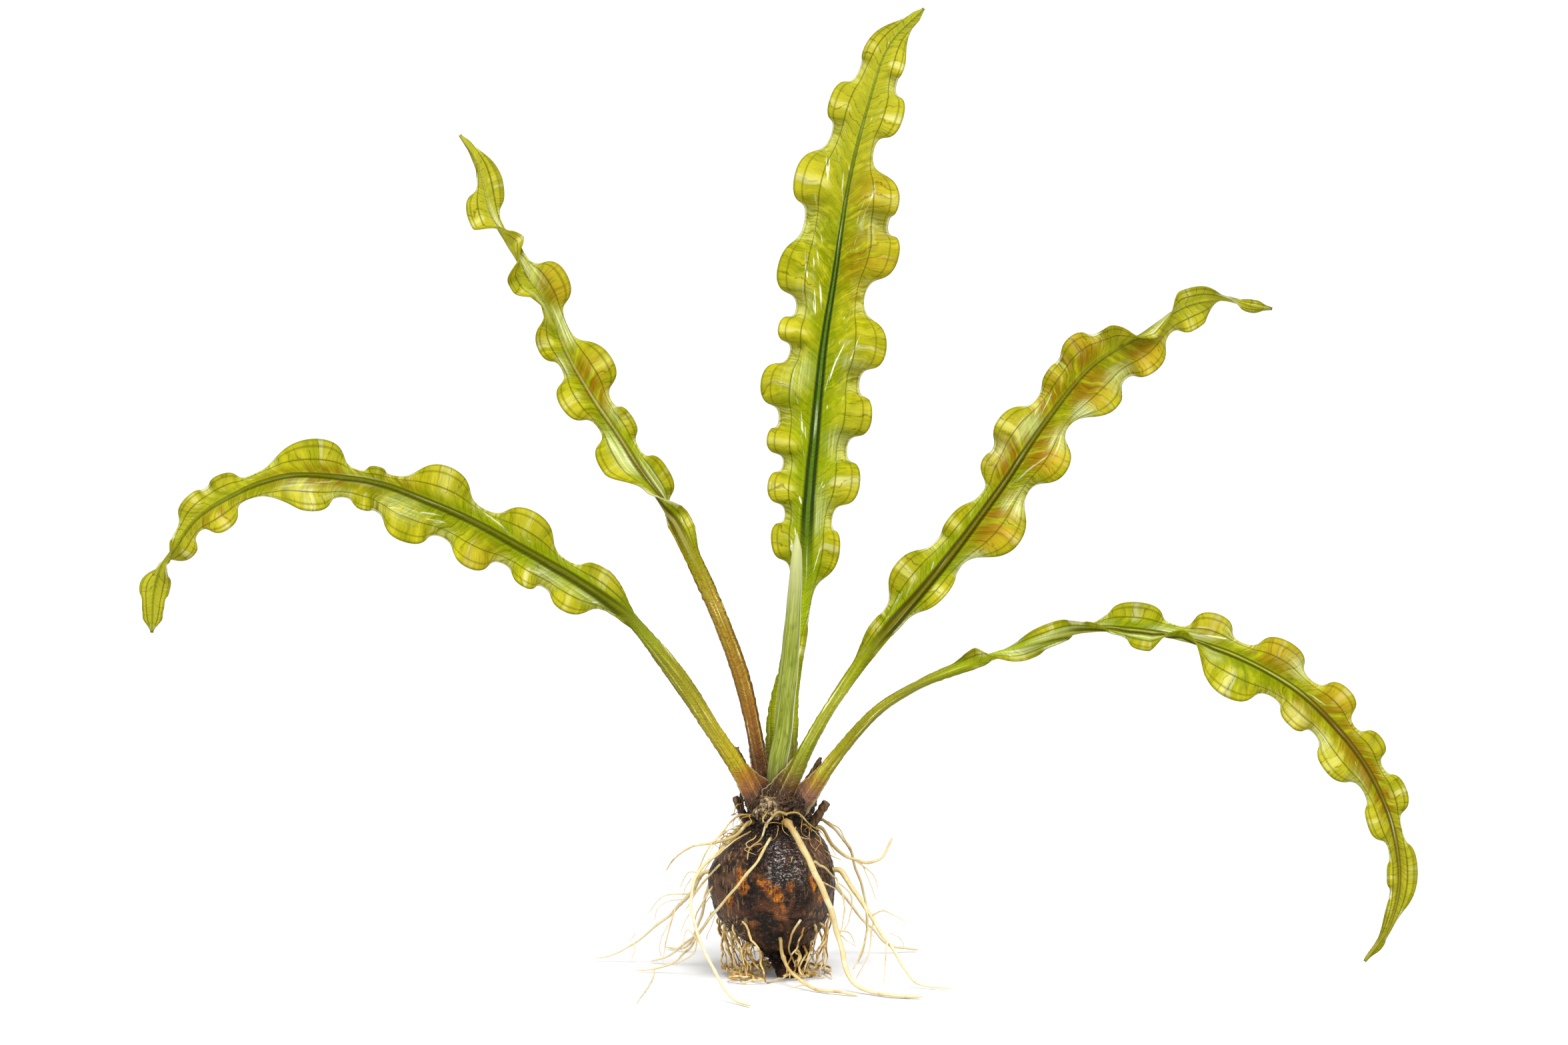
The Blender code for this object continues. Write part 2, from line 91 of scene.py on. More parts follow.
SKY_STRENGTH = 0.78
SUN_STRENGTH = 3.6
SUN_SOFTNESS = math.radians(28)
SUN_TURN = (math.radians(30), math.radians(8), 0.0)
SOFTBOX_POWER = 26.0
PLANT_MIDDLE = Vector((0.0, 0.0, 0.09))

sky = bpy.data.worlds.new("white studio")
sky.use_nodes = True
backdrop = sky.node_tree.nodes["Background"].inputs
backdrop["Color"].default_value = linear("#FFFFFF")
backdrop["Strength"].default_value = SKY_STRENGTH
bpy.context.scene.world = sky

sun = add_object("window light", bpy.data.lights.new("window light", "SUN"))
sun.data.energy = SUN_STRENGTH
sun.data.angle = SUN_SOFTNESS
sun.rotation_euler = SUN_TURN

# Place of each softbox, its width and its height
for label, place, size in (
    ("softbox left", (-0.75, -0.65, 0.75), (0.25, 0.9)),
    ("softbox right", (0.8, -0.5, 0.6), (0.12, 0.9)),
):
    box = add_object(label, bpy.data.lights.new(label, "AREA"))
    box.data.shape = "RECTANGLE"
    box.data.size, box.data.size_y = size
    box.data.energy = SOFTBOX_POWER * size[0]
    box.location = place
    aim = PLANT_MIDDLE - Vector(place)
    box.rotation_euler = aim.to_track_quat("-Z", "Y").to_euler()

# Matt white paper, lit to nearly full white, with about one fibre to a millimetre
PAPER_GRAIN = 0.9
paper, tree, out = new_material("matt white paper")
grain = add_node(tree, "TexNoise", {"Scale": PAPER_GRAIN / MM, "Detail": 3.0})
tone = add_node(tree, "Mix", {0: grain.outputs["Fac"], 6: linear("#CECECE"), 7: linear("#D2D2D2")},
                data_type="RGBA")
coat = add_node(tree, "BsdfPrincipled", {"Base Color": tone.outputs[2], "Roughness": 0.9,
                                         "Specular IOR Level": 0.0})
tree.links.new(coat.outputs[0], out.inputs["Surface"])

FLOOR_SIDE = 30.0
sweep = bmesh.new()
bmesh.ops.create_grid(sweep, x_segments=4, y_segments=4, size=FLOOR_SIDE / 2)
floor = add_object("paper_sweep", as_mesh("paper sweep", sweep))
floor.data.materials.append(paper)

CAMERA_LENS = 200.0
CAMERA_SENSOR = 36.0
CAMERA_TILT = math.radians(8.0)
VIEW_WIDTH = 345.7 * MM
VIEW_MIDDLE = Vector((0.88, 0.0, 101.83)) * MM

camera = add_object("camera", bpy.data.cameras.new("camera"))
camera.data.lens = CAMERA_LENS
camera.data.sensor_width = CAMERA_SENSOR
camera.data.clip_start = 0.05
camera.data.clip_end = 60.0
toward = Vector((0.0, math.cos(CAMERA_TILT), -math.sin(CAMERA_TILT)))
camera.location = VIEW_MIDDLE - toward * (VIEW_WIDTH * CAMERA_LENS / CAMERA_SENSOR)
camera.rotation_euler = (math.radians(90) - CAMERA_TILT, 0.0, 0.0)
bpy.context.scene.camera = camera
bpy.context.scene.view_settings.view_transform = "Standard"


# Grown leaves
# Thin, wet, translucent blades with waved edges on flattened stalks. Each grows in one piece
# from the crown: a stiff midrib, two long veins in each half, and slanting cross veins.

# midrib: places from the crown to the tip. stalk: distance along the leaf and half width.
# right and left: distance and reach of each edge, from the stalk's top, then a crest and a
# notch by turns; a third value is the swing towards the front, where it isn't 1 on a crest or
# -1 in a notch. roll: distance and turn of the face; roll_right and roll_left: the same for
# one half that folds over alone. rib: distance and half width of the dark midrib. amber and
# milky: distance, place across, length and strength of each browned patch and of each
# pale patch of painted sheen.
# stalk_tones: distance and colour from the crown upwards. greenest: where the blade is
# greenest. wing: side, reach and top of the thin sheath that the foot wraps round the crown.
# fresh: how green and wet the blade is, and how strongly its painted glints and the painted
# highlights on its midrib show. rusty: how speckled the stalk is. rib_until: where the
# midrib's dark sides have faded. aged_from: where the midrib turns brown, if it does.
# rib_tones: the midrib's dark sides and its core. spread: how far each lobe's top widens.
LEAVES = {
    "leaf_far_left": dict(
        midrib=[
            (-6.8, -3.0, 42.7), (-9.7, -4.0, 48.4), (-15.3, -6.0, 57.2), (-20.8, -9.0, 66.4),
            (-27.8, -13.0, 76.5), (-34.0, -17.0, 84.0), (-43.6, -22.0, 91.6),
            (-55.2, -28.0, 99.5), (-66.3, -33.0, 106.5), (-76.2, -38.0, 111.7),
            (-87.6, -42.0, 116.4), (-102.3, -47.0, 118.7), (-110.1, -50.0, 117.8),
            (-117.7, -52.0, 114.8), (-124.9, -54.0, 110.3), (-129.6, -55.0, 104.1),
            (-132.4, -55.0, 100.0), (-134.2, -55.0, 94.3), (-134.7, -55.0, 85.7),
        ],
        stalk=[(0, 2.1), (15, 1.8), (30, 2.1), (38, 1.9), (44, 1.5), (48, 1.4)],
        right=[
            (48, 1.4), (60.5, 5.8), (70, 2.8), (81.5, 8.8), (92.5, 3.9), (103.5, 9.2),
            (116, 2.9), (119, 3.8), (122.5, 2.2), (131.5, 8.2), (146.5, 2.2), (152.5, 5.3),
            (156, 4.3), (158.5, 4.9), (166, 1.8), (170, 2.7), (173.5, 2.0), (178, 3.2),
            (182, 2.5, 0.4), (185, 2.2, 0.6),
        ],
        left=[
            (48, 1.4), (51, 1.7), (55, 1.9), (67, 7.6), (72.5, 5.0), (78.5, 7.7), (83.5, 4.9),
            (93, 10.3), (100.5, 5.9), (110.5, 10.9), (118.5, 6.0), (121, 6.9), (126, 4.1),
            (134, 8.2), (149.5, 1.8), (156.5, 6.0), (163, 2.2), (168.5, 4.6), (173.5, 1.9),
            (177.5, 3.4), (182.5, 2.3, 0.4), (185, 2.1, 0.6),
        ],
        roll=[(0, 10), (40, 15), (80, 30), (120, 30), (150, 20), (166, 0), (174, -90), (178.5, -180)],
        roll_right=[
            (0, 10), (40, 15), (80, 30), (120, 30), (150, 20), (165, 0), (171, -90), (176, -180),
        ],
        rib=[(0, 1.6), (50, 1.1), (90, 0.75), (140, 0.5), (175, 0.3), (192, 0.2)],
        amber=[(132, 0.0, 26, 0.7), (158, -0.5, 14, 0.5), (112, 0.4, 14, 0.3), (90, -0.7, 12, 0.3)],
        milky=[(62, -0.3, 12, 0.5), (72, -0.4, 10, 0.5), (112, -0.4, 9, 0.5), (122, 0.1, 9, 0.45),
               (137, -0.45, 9, 0.4), (128, -0.6, 8, 0.3)],
        stalk_tones=[(-6, "#2E2222"), (-2, "#543E3A"), (1, "#8C5A32"), (4, "#9C701E"),
                     (7, "#A29416"), (18, "#9C9420"), (32, "#868612"), (48, "#889620")],
        greenest=62, wing=("right", 4.6, 6), fresh=0.4, rusty=0.35, rib_until=185,
        rib_tones=("#464A04", "#646808"), spread=0.09,
    ),
    "leaf_upper_left": dict(
        midrib=[
            (-4.0, 3.6, 45.5), (-5.8, 5.0, 54.7), (-8.5, 7.6, 65.9), (-12.7, 11.0, 77.2),
            (-17.7, 15.0, 88.2), (-23.5, 19.0, 99.2), (-30.8, 24.0, 109.6), (-36.4, 28.0, 118.1),
            (-41.9, 32.0, 125.5), (-47.5, 35.0, 134.9), (-51.6, 38.0, 143.9),
            (-56.4, 40.0, 151.8), (-62.1, 43.0, 160.6), (-65.3, 45.0, 166.7),
            (-67.7, 47.0, 176.3), (-71.9, 48.0, 183.0),
        ],
        stalk=[(0, 1.7), (10, 1.7), (20, 1.9), (35, 1.8), (45, 1.9), (50, 1.8)],
        right=[
            (50, 1.8), (56, 1.7), (62, 1.9), (71.5, 5.4), (78.5, 2.2), (85.5, 4.9), (91, 3.0),
            (99.5, 8.3), (112.5, 1.8), (122, 7.7), (129.5, 2.0), (133, 2.2), (138.5, 1.2),
            (149, 4.4),
        ],
        left=[
            (50, 1.8), (58.5, 3.7), (64, 3.4), (79.5, 7.3), (88, 2.7), (96.5, 7.1), (103.5, 2.7),
            (109.5, 5.6), (116.5, 3.6, 0.3), (125, 4.7), (130, 3.8, 0.3), (133.5, 4.6),
            (137.5, 3.8, 0.3), (142.5, 5.2), (151, 1.2), (154, 0.9),
        ],
        roll=[(0, 180), (59, 180), (63, 90), (67, 20), (70, 0), (170, 0)],
        roll_left=[
            (0, 180), (60, 180), (64, 125), (68, 90), (73, 45), (78, 0), (110, 0), (115, 66),
            (118, 76), (121, 62), (124.5, 0), (126.5, 0), (129, 90), (133.5, 148), (138, 90),
            (141, 0), (170, 0),
        ],
        rib=[(0, 1.5), (40, 1.2), (80, 0.6), (120, 0.45), (160, 0.25)],
        amber=[(97, 0.3, 15, 0.95), (121, 0.65, 9, 0.6), (58, 0.5, 12, 0.6), (92, -0.7, 8, 0.3)],
        milky=[(70, 0.3, 12, 0.7), (80, -0.35, 12, 0.9), (89, 0.5, 6, 0.6), (104, -0.45, 5, 0.6),
               (112, 0.35, 9, 0.9), (118, -0.5, 8, 0.8), (129, 0.3, 12, 0.9), (140, 0.2, 10, 0.7)],
        stalk_tones=[(-4, "#2C1C16"), (3, "#54341C"), (10, "#7E5418"), (22, "#8E6E16"),
                     (36, "#8C7812"), (48, "#8A840E"), (60, "#8C8A10")],
        greenest=70, wing=("right", 1.2, 9), fresh=0.25, rusty=0.8, rib_until=116,
        rib_tones=("#50480C", "#96904A"), spread=0.1,
    ),
    "leaf_centre": dict(
        midrib=[
            (0.9, 5.0, 46.4), (1.2, 7.0, 61.1), (4.0, 9.0, 75.8), (5.5, 11.0, 86.2),
            (6.1, 14.0, 100.9), (7.7, 18.0, 119.1), (9.6, 22.0, 137.7), (12.3, 26.0, 154.8),
            (15.4, 31.0, 174.3), (19.6, 35.0, 190.8), (24.2, 38.0, 203.9), (32.1, 40.0, 212.1),
        ],
        stalk=[(0, 2.8), (10, 3.2), (20, 2.6)],
        right=[
            (20, 2.6), (26, 2.0), (37, 1.6), (49.5, 7.5), (55.5, 5.4), (64.5, 11.0), (72, 7.4),
            (79, 12.3), (87, 8.8), (95, 13.9), (106.5, 7.3), (117, 13.5), (123.5, 10.2),
            (128.5, 11.8), (139.5, 3.6), (148.5, 8.3), (156, 4.8), (159.5, 5.3),
        ],
        left=[
            (20, 2.6), (28, 2.8), (42.5, 3.3), (51.5, 7.9), (56, 5.0), (62, 9.4), (67.5, 6.3),
            (72, 10.5), (77, 8.2), (84.5, 13.0), (92.5, 7.2), (96.5, 10.6), (101.5, 7.2),
            (109, 12.8), (122, 8.3), (130, 12.2), (141.5, 6.1), (147.5, 8.6), (157, 4.0),
            (161, 4.7),
        ],
        roll=[(0, 0), (175, 0)],
        rib=[(0, 2.0), (40, 1.3), (80, 0.9), (105, 0.6), (122, 0.42), (175, 0.22)],
        amber=[(114, 0.6, 18, 0.5), (131, 0.5, 14, 0.4)],
        milky=[(58, 0.35, 10, 0.5), (88, -0.45, 8, 0.5), (73, 0.55, 7, 0.35), (91.5, 0.6, 4, 0.4),
               (104, -0.6, 8, 0.25), (122, 0.6, 8, 0.2)],
        stalk_tones=[(-2, "#4A3C24"), (4, "#7A7C18"), (10, "#9CA40E"), (36, "#92A00A")],
        greenest=66, wing=("left", 1.8, 24), fresh=1.0, rusty=0.0, rib_until=165,
        rib_tones=("#243404", "#547014"), spread=0.12,
    ),
    "leaf_upper_right": dict(
        midrib=[
            (2.2, -3.5, 44.0), (6.2, -1.0, 52.1), (12.0, 4.0, 61.3), (21.3, 10.0, 73.4),
            (34.7, 17.0, 87.9), (48.3, 24.0, 104.9), (59.5, 30.0, 120.6), (69.9, 35.0, 132.4),
            (81.7, 40.0, 139.1), (90.0, 43.0, 144.4), (99.0, 46.0, 146.1), (105.1, 48.0, 144.5),
            (110.9, 50.0, 143.5),
        ],
        stalk=[(0, 2.0), (10, 1.5), (20, 1.3), (30, 1.5)],
        right=[
            (30, 1.5), (36, 1.6), (46, 2.0), (56.5, 4.8), (64, 3.5), (75.5, 10.5), (86.5, 5.6),
            (94.5, 10.1), (104, 4.9), (115.5, 10.6), (125.5, 7.3), (130, 8.9), (138.5, 3.6),
            (143.5, 5.8), (156, 1.1), (161.5, 1.5),
        ],
        left=[
            (30, 1.5), (41, 3.8), (44.5, 3.4), (54, 8.7), (65, 4.4), (70, 5.5), (80.5, 2.6),
            (86.5, 7.0), (89.5, 6.3), (95.5, 9.0), (104.5, 4.5), (111.5, 6.8), (113.5, 6.2),
            (118, 8.5), (123, 5.3), (125.5, 5.6), (131, 3.2, 0.3), (134, 2.9), (138, 2.9, 0.3),
            (146, 3.7), (156, 1.1), (161, 1.5),
        ],
        roll=[(0, 0), (50, 10), (90, -5), (130, 10), (148, 0), (155.5, 90), (161, 180)],
        roll_left=[
            (0, 0), (50, 10), (90, -5), (126, 10), (131, 90), (134.5, 135), (139.5, 90),
            (144, 0), (149, 0), (155.5, 90), (161, 180),
        ],
        rib=[(0, 1.5), (40, 1.15), (75, 0.75), (110, 0.5), (165, 0.25)],
        amber=[(76, 0.45, 15, 1.0), (96, 0.45, 13, 1.0), (90, -0.4, 16, 0.9), (114, 0.4, 13, 0.8),
               (107, -0.5, 14, 0.8), (131, 0.5, 11, 0.8), (118, -0.6, 12, 0.8)],
        milky=[(82, 0.6, 7, 0.8), (100, 0.65, 7, 0.8), (109, 0.7, 6, 1.0), (122, 0.7, 9, 0.9),
               (90, -0.7, 7, 0.6), (98, -0.35, 7, 0.8), (66, 0.8, 8, 0.6), (137, -0.3, 10, 0.8)],
        stalk_tones=[(-6, "#241612"), (-2, "#3C2412"), (0.5, "#5A4412"), (3.5, "#6E6C0C"),
                     (8, "#7A820C"), (15, "#868A12"), (30, "#868C1A"), (50, "#90920C")],
        greenest=54, wing=("left", 2.8, 6.5), fresh=0.2, rusty=0.1, rib_until=140,
        rib_tones=("#3E3A02", "#6E6A0C"), spread=0.06,
    ),
    "leaf_far_right": dict(
        midrib=[
            (6.8, -4.6, 42.0), (12.0, -6.0, 50.1), (21.1, -9.0, 61.0), (30.8, -12.0, 67.7),
            (39.5, -15.0, 71.8), (48.2, -18.0, 75.3), (56.8, -21.0, 78.5), (66.0, -24.0, 81.4),
            (75.5, -27.0, 82.0), (87.1, -30.0, 80.6), (100.2, -33.0, 76.6),
            (113.4, -36.0, 69.1), (125.3, -39.0, 56.5), (132.0, -41.0, 43.4),
            (134.3, -42.0, 30.1), (132.1, -42.0, 19.2), (127.0, -42.0, 11.5),
        ],
        stalk=[(0, 1.9), (12, 1.4), (30, 1.1), (36, 1.0), (44, 1.3)],
        right=[
            (44, 1.3), (50, 1.5), (56, 1.0), (70.5, 3.3), (75.5, 2.6), (80, 2.8), (84.2, 1.5),
            (91, 4.3), (98.5, 2.2, 0.3), (113, 9.4), (122.5, 4.1), (130.5, 7.2), (135.5, 4.3),
            (143.5, 8.1), (153.5, 3.0), (161, 5.2), (168, 1.7), (174, 2.8), (178, 1.7),
            (181, 1.9),
        ],
        left=[
            (44, 1.3), (53, 3.6), (57, 3.1, 0.5), (60.5, 3.1), (70, 1.7), (74, 2.6), (78, 2.4),
            (88, 6.4), (97, 2.5), (104, 7.4), (111, 3.3), (119.5, 8.0), (127.5, 3.8),
            (134, 7.7), (140.5, 3.3), (145.5, 6.3), (150.5, 3.2), (156, 5.6), (163.5, 1.8),
            (172.5, 4.0), (187, 0.8), (190, 1.2),
        ],
        roll=[
            (0, -10), (46, 0), (52, 20), (57, 90), (62, 165), (69, 180), (75, 270), (81, 335),
            (140, 345), (195, 360),
        ],
        roll_right=[
            (0, -10), (46, 0), (52, 20), (57, 90), (62, 165), (74, 180), (82, 270), (87, 335),
            (92, 337), (95.5, 270), (98.5, 200), (102, 270), (106, 338), (140, 345), (195, 360),
        ],
        rib=[(0, 1.4), (44, 0.9), (90, 0.6), (140, 0.5), (195, 0.25)],
        amber=[(119, -0.6, 14, 0.6), (136, -0.5, 16, 0.7), (151, 0.0, 32, 0.9), (104, -0.5, 10, 0.4),
               (131, 0.5, 14, 0.45), (168, 0.0, 34, 0.3)],
        milky=[(90, 0.25, 9, 0.7), (98, -0.2, 12, 0.9), (106, 0.3, 5, 0.5), (108, -0.8, 6, 0.6),
               (62, -0.4, 10, 0.7), (71, 0.2, 12, 0.9), (79, -0.3, 8, 0.5),
               (124, -0.7, 6, 0.8), (138, 0.7, 7, 0.8), (130, 0.65, 6, 0.5), (150, 0.6, 6, 0.6)],
        stalk_tones=[(-6, "#342624"), (-3, "#54403C"), (0, "#805A44"), (3, "#8E6A26"),
                     (6, "#8C8412"), (16, "#86860E"), (44, "#888C20")],
        greenest=88, wing=("left", 2.8, 7), fresh=0.6, rusty=0.2, rib_until=190, aged_from=122,
        rib_tones=("#4A4C04", "#A2A43C"), spread=0.1,
    ),
}
# How far each foot runs on inside the crown
FOOT = 8.0
MIDRIB_STEPS = 900
LEAF_ROWS = 440
LEAF_COLUMNS = 40
COLUMN_CROWDING = 1.35
# The stalk turns to blade over this length, starting so far below its top
BLADE_GROWS = 26.0
BLADE_STARTS = 8.0
STALK_THICK = 2.6
STALK_ROUGH = 0.12
STALK_ROUGH_SIZE = 1.1
RIDGE_THICK = 1.15
RIDGE_WIDTH = 0.8
TIP_THICK = 0.5
TIP_REACH = 0.15
BLADE_THICK = 0.24
RUFFLE = 0.36
RUFFLE_CURL = 1.7
LOBE_SPAN = 9.5
LOBE_LEAN = 0.07
LEAN_CURL = 1.5
FRONT_PULL = 3.0
BUCKLE = 0.16
BUCKLE_SIZE = 3.2
# Buckles die out this near the midrib
BUCKLE_CLEAR = 2.0
WING_FOOT = 4.0
WING_WRAP = 0.10
WING_TAPER = 1.3
CURVE_PIECES = 16


def smooth_path(points, steps):
    """Evenly spaced places on a smooth curve through the points, and their distances along it."""
    points = np.array(points, float)
    padded = np.vstack([2 * points[0] - points[1], points, 2 * points[-1] - points[-2]])
    fine = []
    for before, start, end, after in zip(padded, padded[1:], padded[2:], padded[3:]):
        for u in np.linspace(0, 1, CURVE_PIECES, endpoint=False):
            fine.append(0.5 * (
                2 * start + (end - before) * u
                + (2 * before - 5 * start + 4 * end - after) * u ** 2
                + (3 * start - before - 3 * end + after) * u ** 3
            ))
    fine = np.array(fine + [points[-1]])
    spans = np.linalg.norm(np.diff(fine, axis=0), axis=1)
    run = np.concatenate([[0.0], np.cumsum(spans)])
    distance = np.linspace(0.0, run[-1], steps)
    places = [np.interp(distance, run, fine[:, axis]) for axis in range(points.shape[1])]
    return np.stack(places, axis=1), distance


def unit(vectors):
    """The same directions, each one long."""
    return vectors / np.linalg.norm(vectors, axis=-1, keepdims=True)


FRONT = -np.array(toward)


def leaf_frame(path, turn):
    """Directions across the leaf and out of its face, which looks at the front before it turns."""
    along = unit(np.gradient(path, axis=0))
    level = np.array([0.0, -1.0, 0.0])
    face = unit(level - along * (along @ level)[:, None])
    across = np.cross(along, face)
    cos, sin = np.cos(turn)[:, None], np.sin(turn)[:, None]
    return across * cos - face * sin, face * cos + across * sin


def edge_course(marks, length, at, spread):
    """Reach of one edge at each distance, its mean reach, its swing from -1 in a notch to 1
    on a crest, and how far it leans over the notches, so that each lobe stands steep."""
    marks = marks + [(length, TIP_REACH)]
    distance, reach = (np.array([mark[part] for mark in marks], float) for part in (0, 1))
    usual = [0.0] + [-1.0 if turn % 2 == 0 else 1.0 for turn in range(1, len(marks))]
    swings = np.array([mark[2] if len(mark) > 2 else swing for mark, swing in zip(marks, usual)])
    step = np.clip(np.searchsorted(distance, at, side="right") - 1, 0, len(distance) - 2)
    share = np.clip((at - distance[step]) / (distance[step + 1] - distance[step]), 0.0, 1.0)
    blend = 0.5 - 0.5 * np.cos(np.pi * share)
    outline = reach[step] + (reach[step + 1] - reach[step]) * blend
    swing = swings[step] + (swings[step + 1] - swings[step]) * blend
    middles = np.append(distance[0], (distance[1:] + distance[:-1]) / 2)
    mean = np.interp(at, middles, np.append(reach[0], (reach[1:] + reach[:-1]) / 2))
    lean = spread * np.sin(2 * np.pi * share)
    lean += np.where(step % 2 == 0, -1, 1) * LOBE_LEAN * np.sin(np.pi * share)
    span = np.diff(distance)[step]
    lean *= np.minimum(span, LOBE_SPAN ** 2 / span)
    lean = np.where((step == 0) | (step == len(distance) - 2), 0.0, lean)
    inside = (at > distance[0]) & (at < length)
    return outline, np.minimum(mean, length - at + TIP_REACH), swing * inside, lean * inside


def flat_sheet(rows, columns):
    """A flat sheet of faces, and its corners' places from -1 to 1 each way."""
    sheet = bmesh.new()
    bmesh.ops.create_grid(sheet, x_segments=rows, y_segments=columns, size=1.0)
    return sheet, np.array([vertex.co[:] for vertex in sheet.verts])


def add_attributes(mesh, marks):
    """Values at each corner of the mesh, under the names that its material reads."""
    for key, values in marks.items():
        made = mesh.attributes.new(key, "FLOAT", "POINT")
        made.data.foreach_set("value", np.asarray(values, np.float32))


def thickened(sheet, thickness, offset):
    """The wall of a thin sheet, to both sides of it at offset 0 and to one side at 1 or -1."""
    wall = sheet.modifiers.new("thickness", "SOLIDIFY")
    wall.thickness = thickness * MM
    wall.offset = offset
    return wall


# Share across to each long vein, slants along the leaf for each mm across, and half widths
# and falling off of the browned and the pale patches
MAIN_VEIN = 0.58
OUTER_VEIN = 0.875
VEIN_SLANT = 0.85
FILM_SLOPE = 0.24
PATCH_WIDTHS = {"amber": 0.5, "milky": 0.28}
PATCH_EDGE = 1.5


def grown_leaf(name, plan):
    """One leaf: a fine grid bent along the midrib, ruffled, buckled and solidified."""
    path, distance = smooth_path(plan["midrib"], MIDRIB_STEPS)
    path = np.vstack([path[0] - FOOT * unit(path[1] - path[0]), path])
    distance = np.append(-FOOT, distance)
    length = distance[-1]
    sheet, flat = flat_sheet(LEAF_ROWS - 1, LEAF_COLUMNS)
    at = (flat[:, 0] + 1) / 2 * (length + FOOT) - FOOT
    side = np.sign(flat[:, 1]) * np.abs(flat[:, 1]) ** COLUMN_CROWDING
    share = np.abs(side)
    stalk_top = plan["right"][0][0]
    stalk = np.interp(at, *zip(*plan["stalk"]))
    blade = at > stalk_top
    fade = np.clip((at - stalk_top + BLADE_STARTS) / BLADE_GROWS, 0, 1)
    swings, half = np.zeros(len(at)), np.zeros(len(at))
    places = np.zeros((len(at), 3))
    wing_side, wing_reach, wing_top = plan["wing"]
    wing = wing_reach * np.clip((wing_top - at) / (wing_top + WING_FOOT), 0, 1) ** WING_TAPER
    own_noise = 7.0 * len(name)
    for sign, key in ((1, "right"), (-1, "left")):
        outline, mean, swing, lean = edge_course(plan[key], length, at, plan["spread"])
        foot = stalk + (wing if key == wing_side else 0.0)
        roll = np.radians(np.interp(distance, *zip(*plan.get("roll_" + key, plan["roll"]))))
        across, face = leaf_frame(path, roll)
        rise = unit(face + FRONT_PULL * (face @ FRONT)[:, None] * FRONT)
        reach = np.where(blade, mean * (1 - share ** 2) + outline * share ** 2, foot)
        width = sign * reach * share
        wrap = -WING_WRAP * np.maximum(reach * share - stalk, 0.0) ** 2
        lift = np.where(blade, RUFFLE * mean * swing * share ** RUFFLE_CURL, wrap)
        where = np.clip(at + np.where(blade, lean * share ** LEAN_CURL, 0.0), -FOOT, length)
        on_side = (side * sign > 0) | ((side == 0) & (sign == 1))
        for index in np.flatnonzero(on_side):
            s, w = at[index], width[index]
            buckle = noise.noise(Vector((s, w, own_noise)) / BUCKLE_SIZE)
            lift[index] += BUCKLE * buckle * min(abs(w) / BUCKLE_CLEAR, 1) * fade[index]
            rough = noise.noise(Vector((s / STALK_ROUGH_SIZE, 3 * sign, 0))) * (1 - fade[index])
            width[index] *= 1 + STALK_ROUGH * rough
        here, out_to, up = (
            np.stack([np.interp(where, distance, values[:, axis]) for axis in range(3)], axis=1)
            for values in (path, across, rise)
        )
        moved = here + out_to * width[:, None] + up * lift[:, None]
        places[on_side] = moved[on_side]
        swings[on_side] = np.where(blade, swing, 0.0)[on_side]
        half[on_side] = np.where(blade, np.maximum(mean, 0.2), foot)[on_side]
    for vertex, place in zip(sheet.verts, places):
        vertex.co = place * MM
    mesh = as_mesh(name, sheet)
    mesh.shade_smooth()

    out_mm = share * half
    rib = np.interp(at, *zip(*plan["rib"]))
    marks = {
        "along": at, "side": side * half, "share": share, "swing": swings, "rib": out_mm / rib,
        "slope": out_mm - FILM_SLOPE * at, "to_edge": half - out_mm,
        "course": at - VEIN_SLANT * np.minimum(share, MAIN_VEIN) * half,
        "to_main": (share - MAIN_VEIN) * half, "to_outer": (share - OUTER_VEIN) * half,
    }
    for key, wide in PATCH_WIDTHS.items():
        marks[key] = np.zeros(len(at))
        for centre, place, long, strength in plan[key]:
            gap = ((at - centre) / (long / 2)) ** 2 + ((side - place) / wide) ** 2
            marks[key] = np.maximum(marks[key], strength * np.exp(-gap ** PATCH_EDGE))
    add_attributes(mesh, marks)

    made = add_object(name.replace("leaf", "blade"), mesh)
    group = made.vertex_groups.new(name="thickness")
    round_stalk = STALK_THICK * np.sqrt(np.clip(1 - (out_mm / stalk) ** 2, 0.02, 1))
    up_blade = np.clip((at - stalk_top) / (length - stalk_top), 0, 1)
    ridge = RIDGE_THICK + (TIP_THICK - RIDGE_THICK) * up_blade
    veined = BLADE_THICK + ridge * np.exp(-(out_mm / (RIDGE_WIDTH * rib)) ** 2)
    thick = np.minimum(round_stalk * (1 - fade) + veined * fade, STALK_THICK)
    for index, value in enumerate(thick / STALK_THICK):
        group.add([index], float(value), "REPLACE")
    thickened(made, STALK_THICK, 0.0).vertex_group = group.name
    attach(made, "root")
    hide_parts(name)
    return made


def passing(tree, source, low, high, *limits):
    """Share from 0 to 1 as a value goes from one level to another, times whatever limits it."""
    share = add_node(tree, "MapRange", {0: source, 1: low, 2: high},
                     interpolation_type="SMOOTHSTEP").outputs[0]
    for limit in limits:
        share = add_node(tree, "Math", {0: share, 1: limit}, operation="MULTIPLY").outputs[0]
    return share


def tinted(tree, ground, tone, source, low, high, *limits):
    """The ground colour with a tone laid over it where a value goes from one level to another."""
    share = passing(tree, source, low, high, *limits)
    over = linear(tone) if isinstance(tone, str) else tone
    return add_node(tree, "Mix", {0: share, 6: ground, 7: over}, data_type="RGBA").outputs[2]


def painted(tree, ground, *coats):
    """The ground colour under several tones, each with its source, levels and limits."""
    for coat in coats:
        ground = tinted(tree, ground, *coat)
    return ground


# Distance between streaks, pleats, bands and cross veins, and how far they wander
STREAK_STEP = 1.3
PLEAT_STEP = 0.4
BAND_STEP = 3.4
CROSS_VEIN_STEP = 2.1
STREAK_WANDER = 3.0
VEIN_WANDER = 6.0
# Sizes of the noise that veins wander by, and of clouds, mottling and specks
TISSUE_NOISES = (5.0, 10.0, 1.7, 0.42)
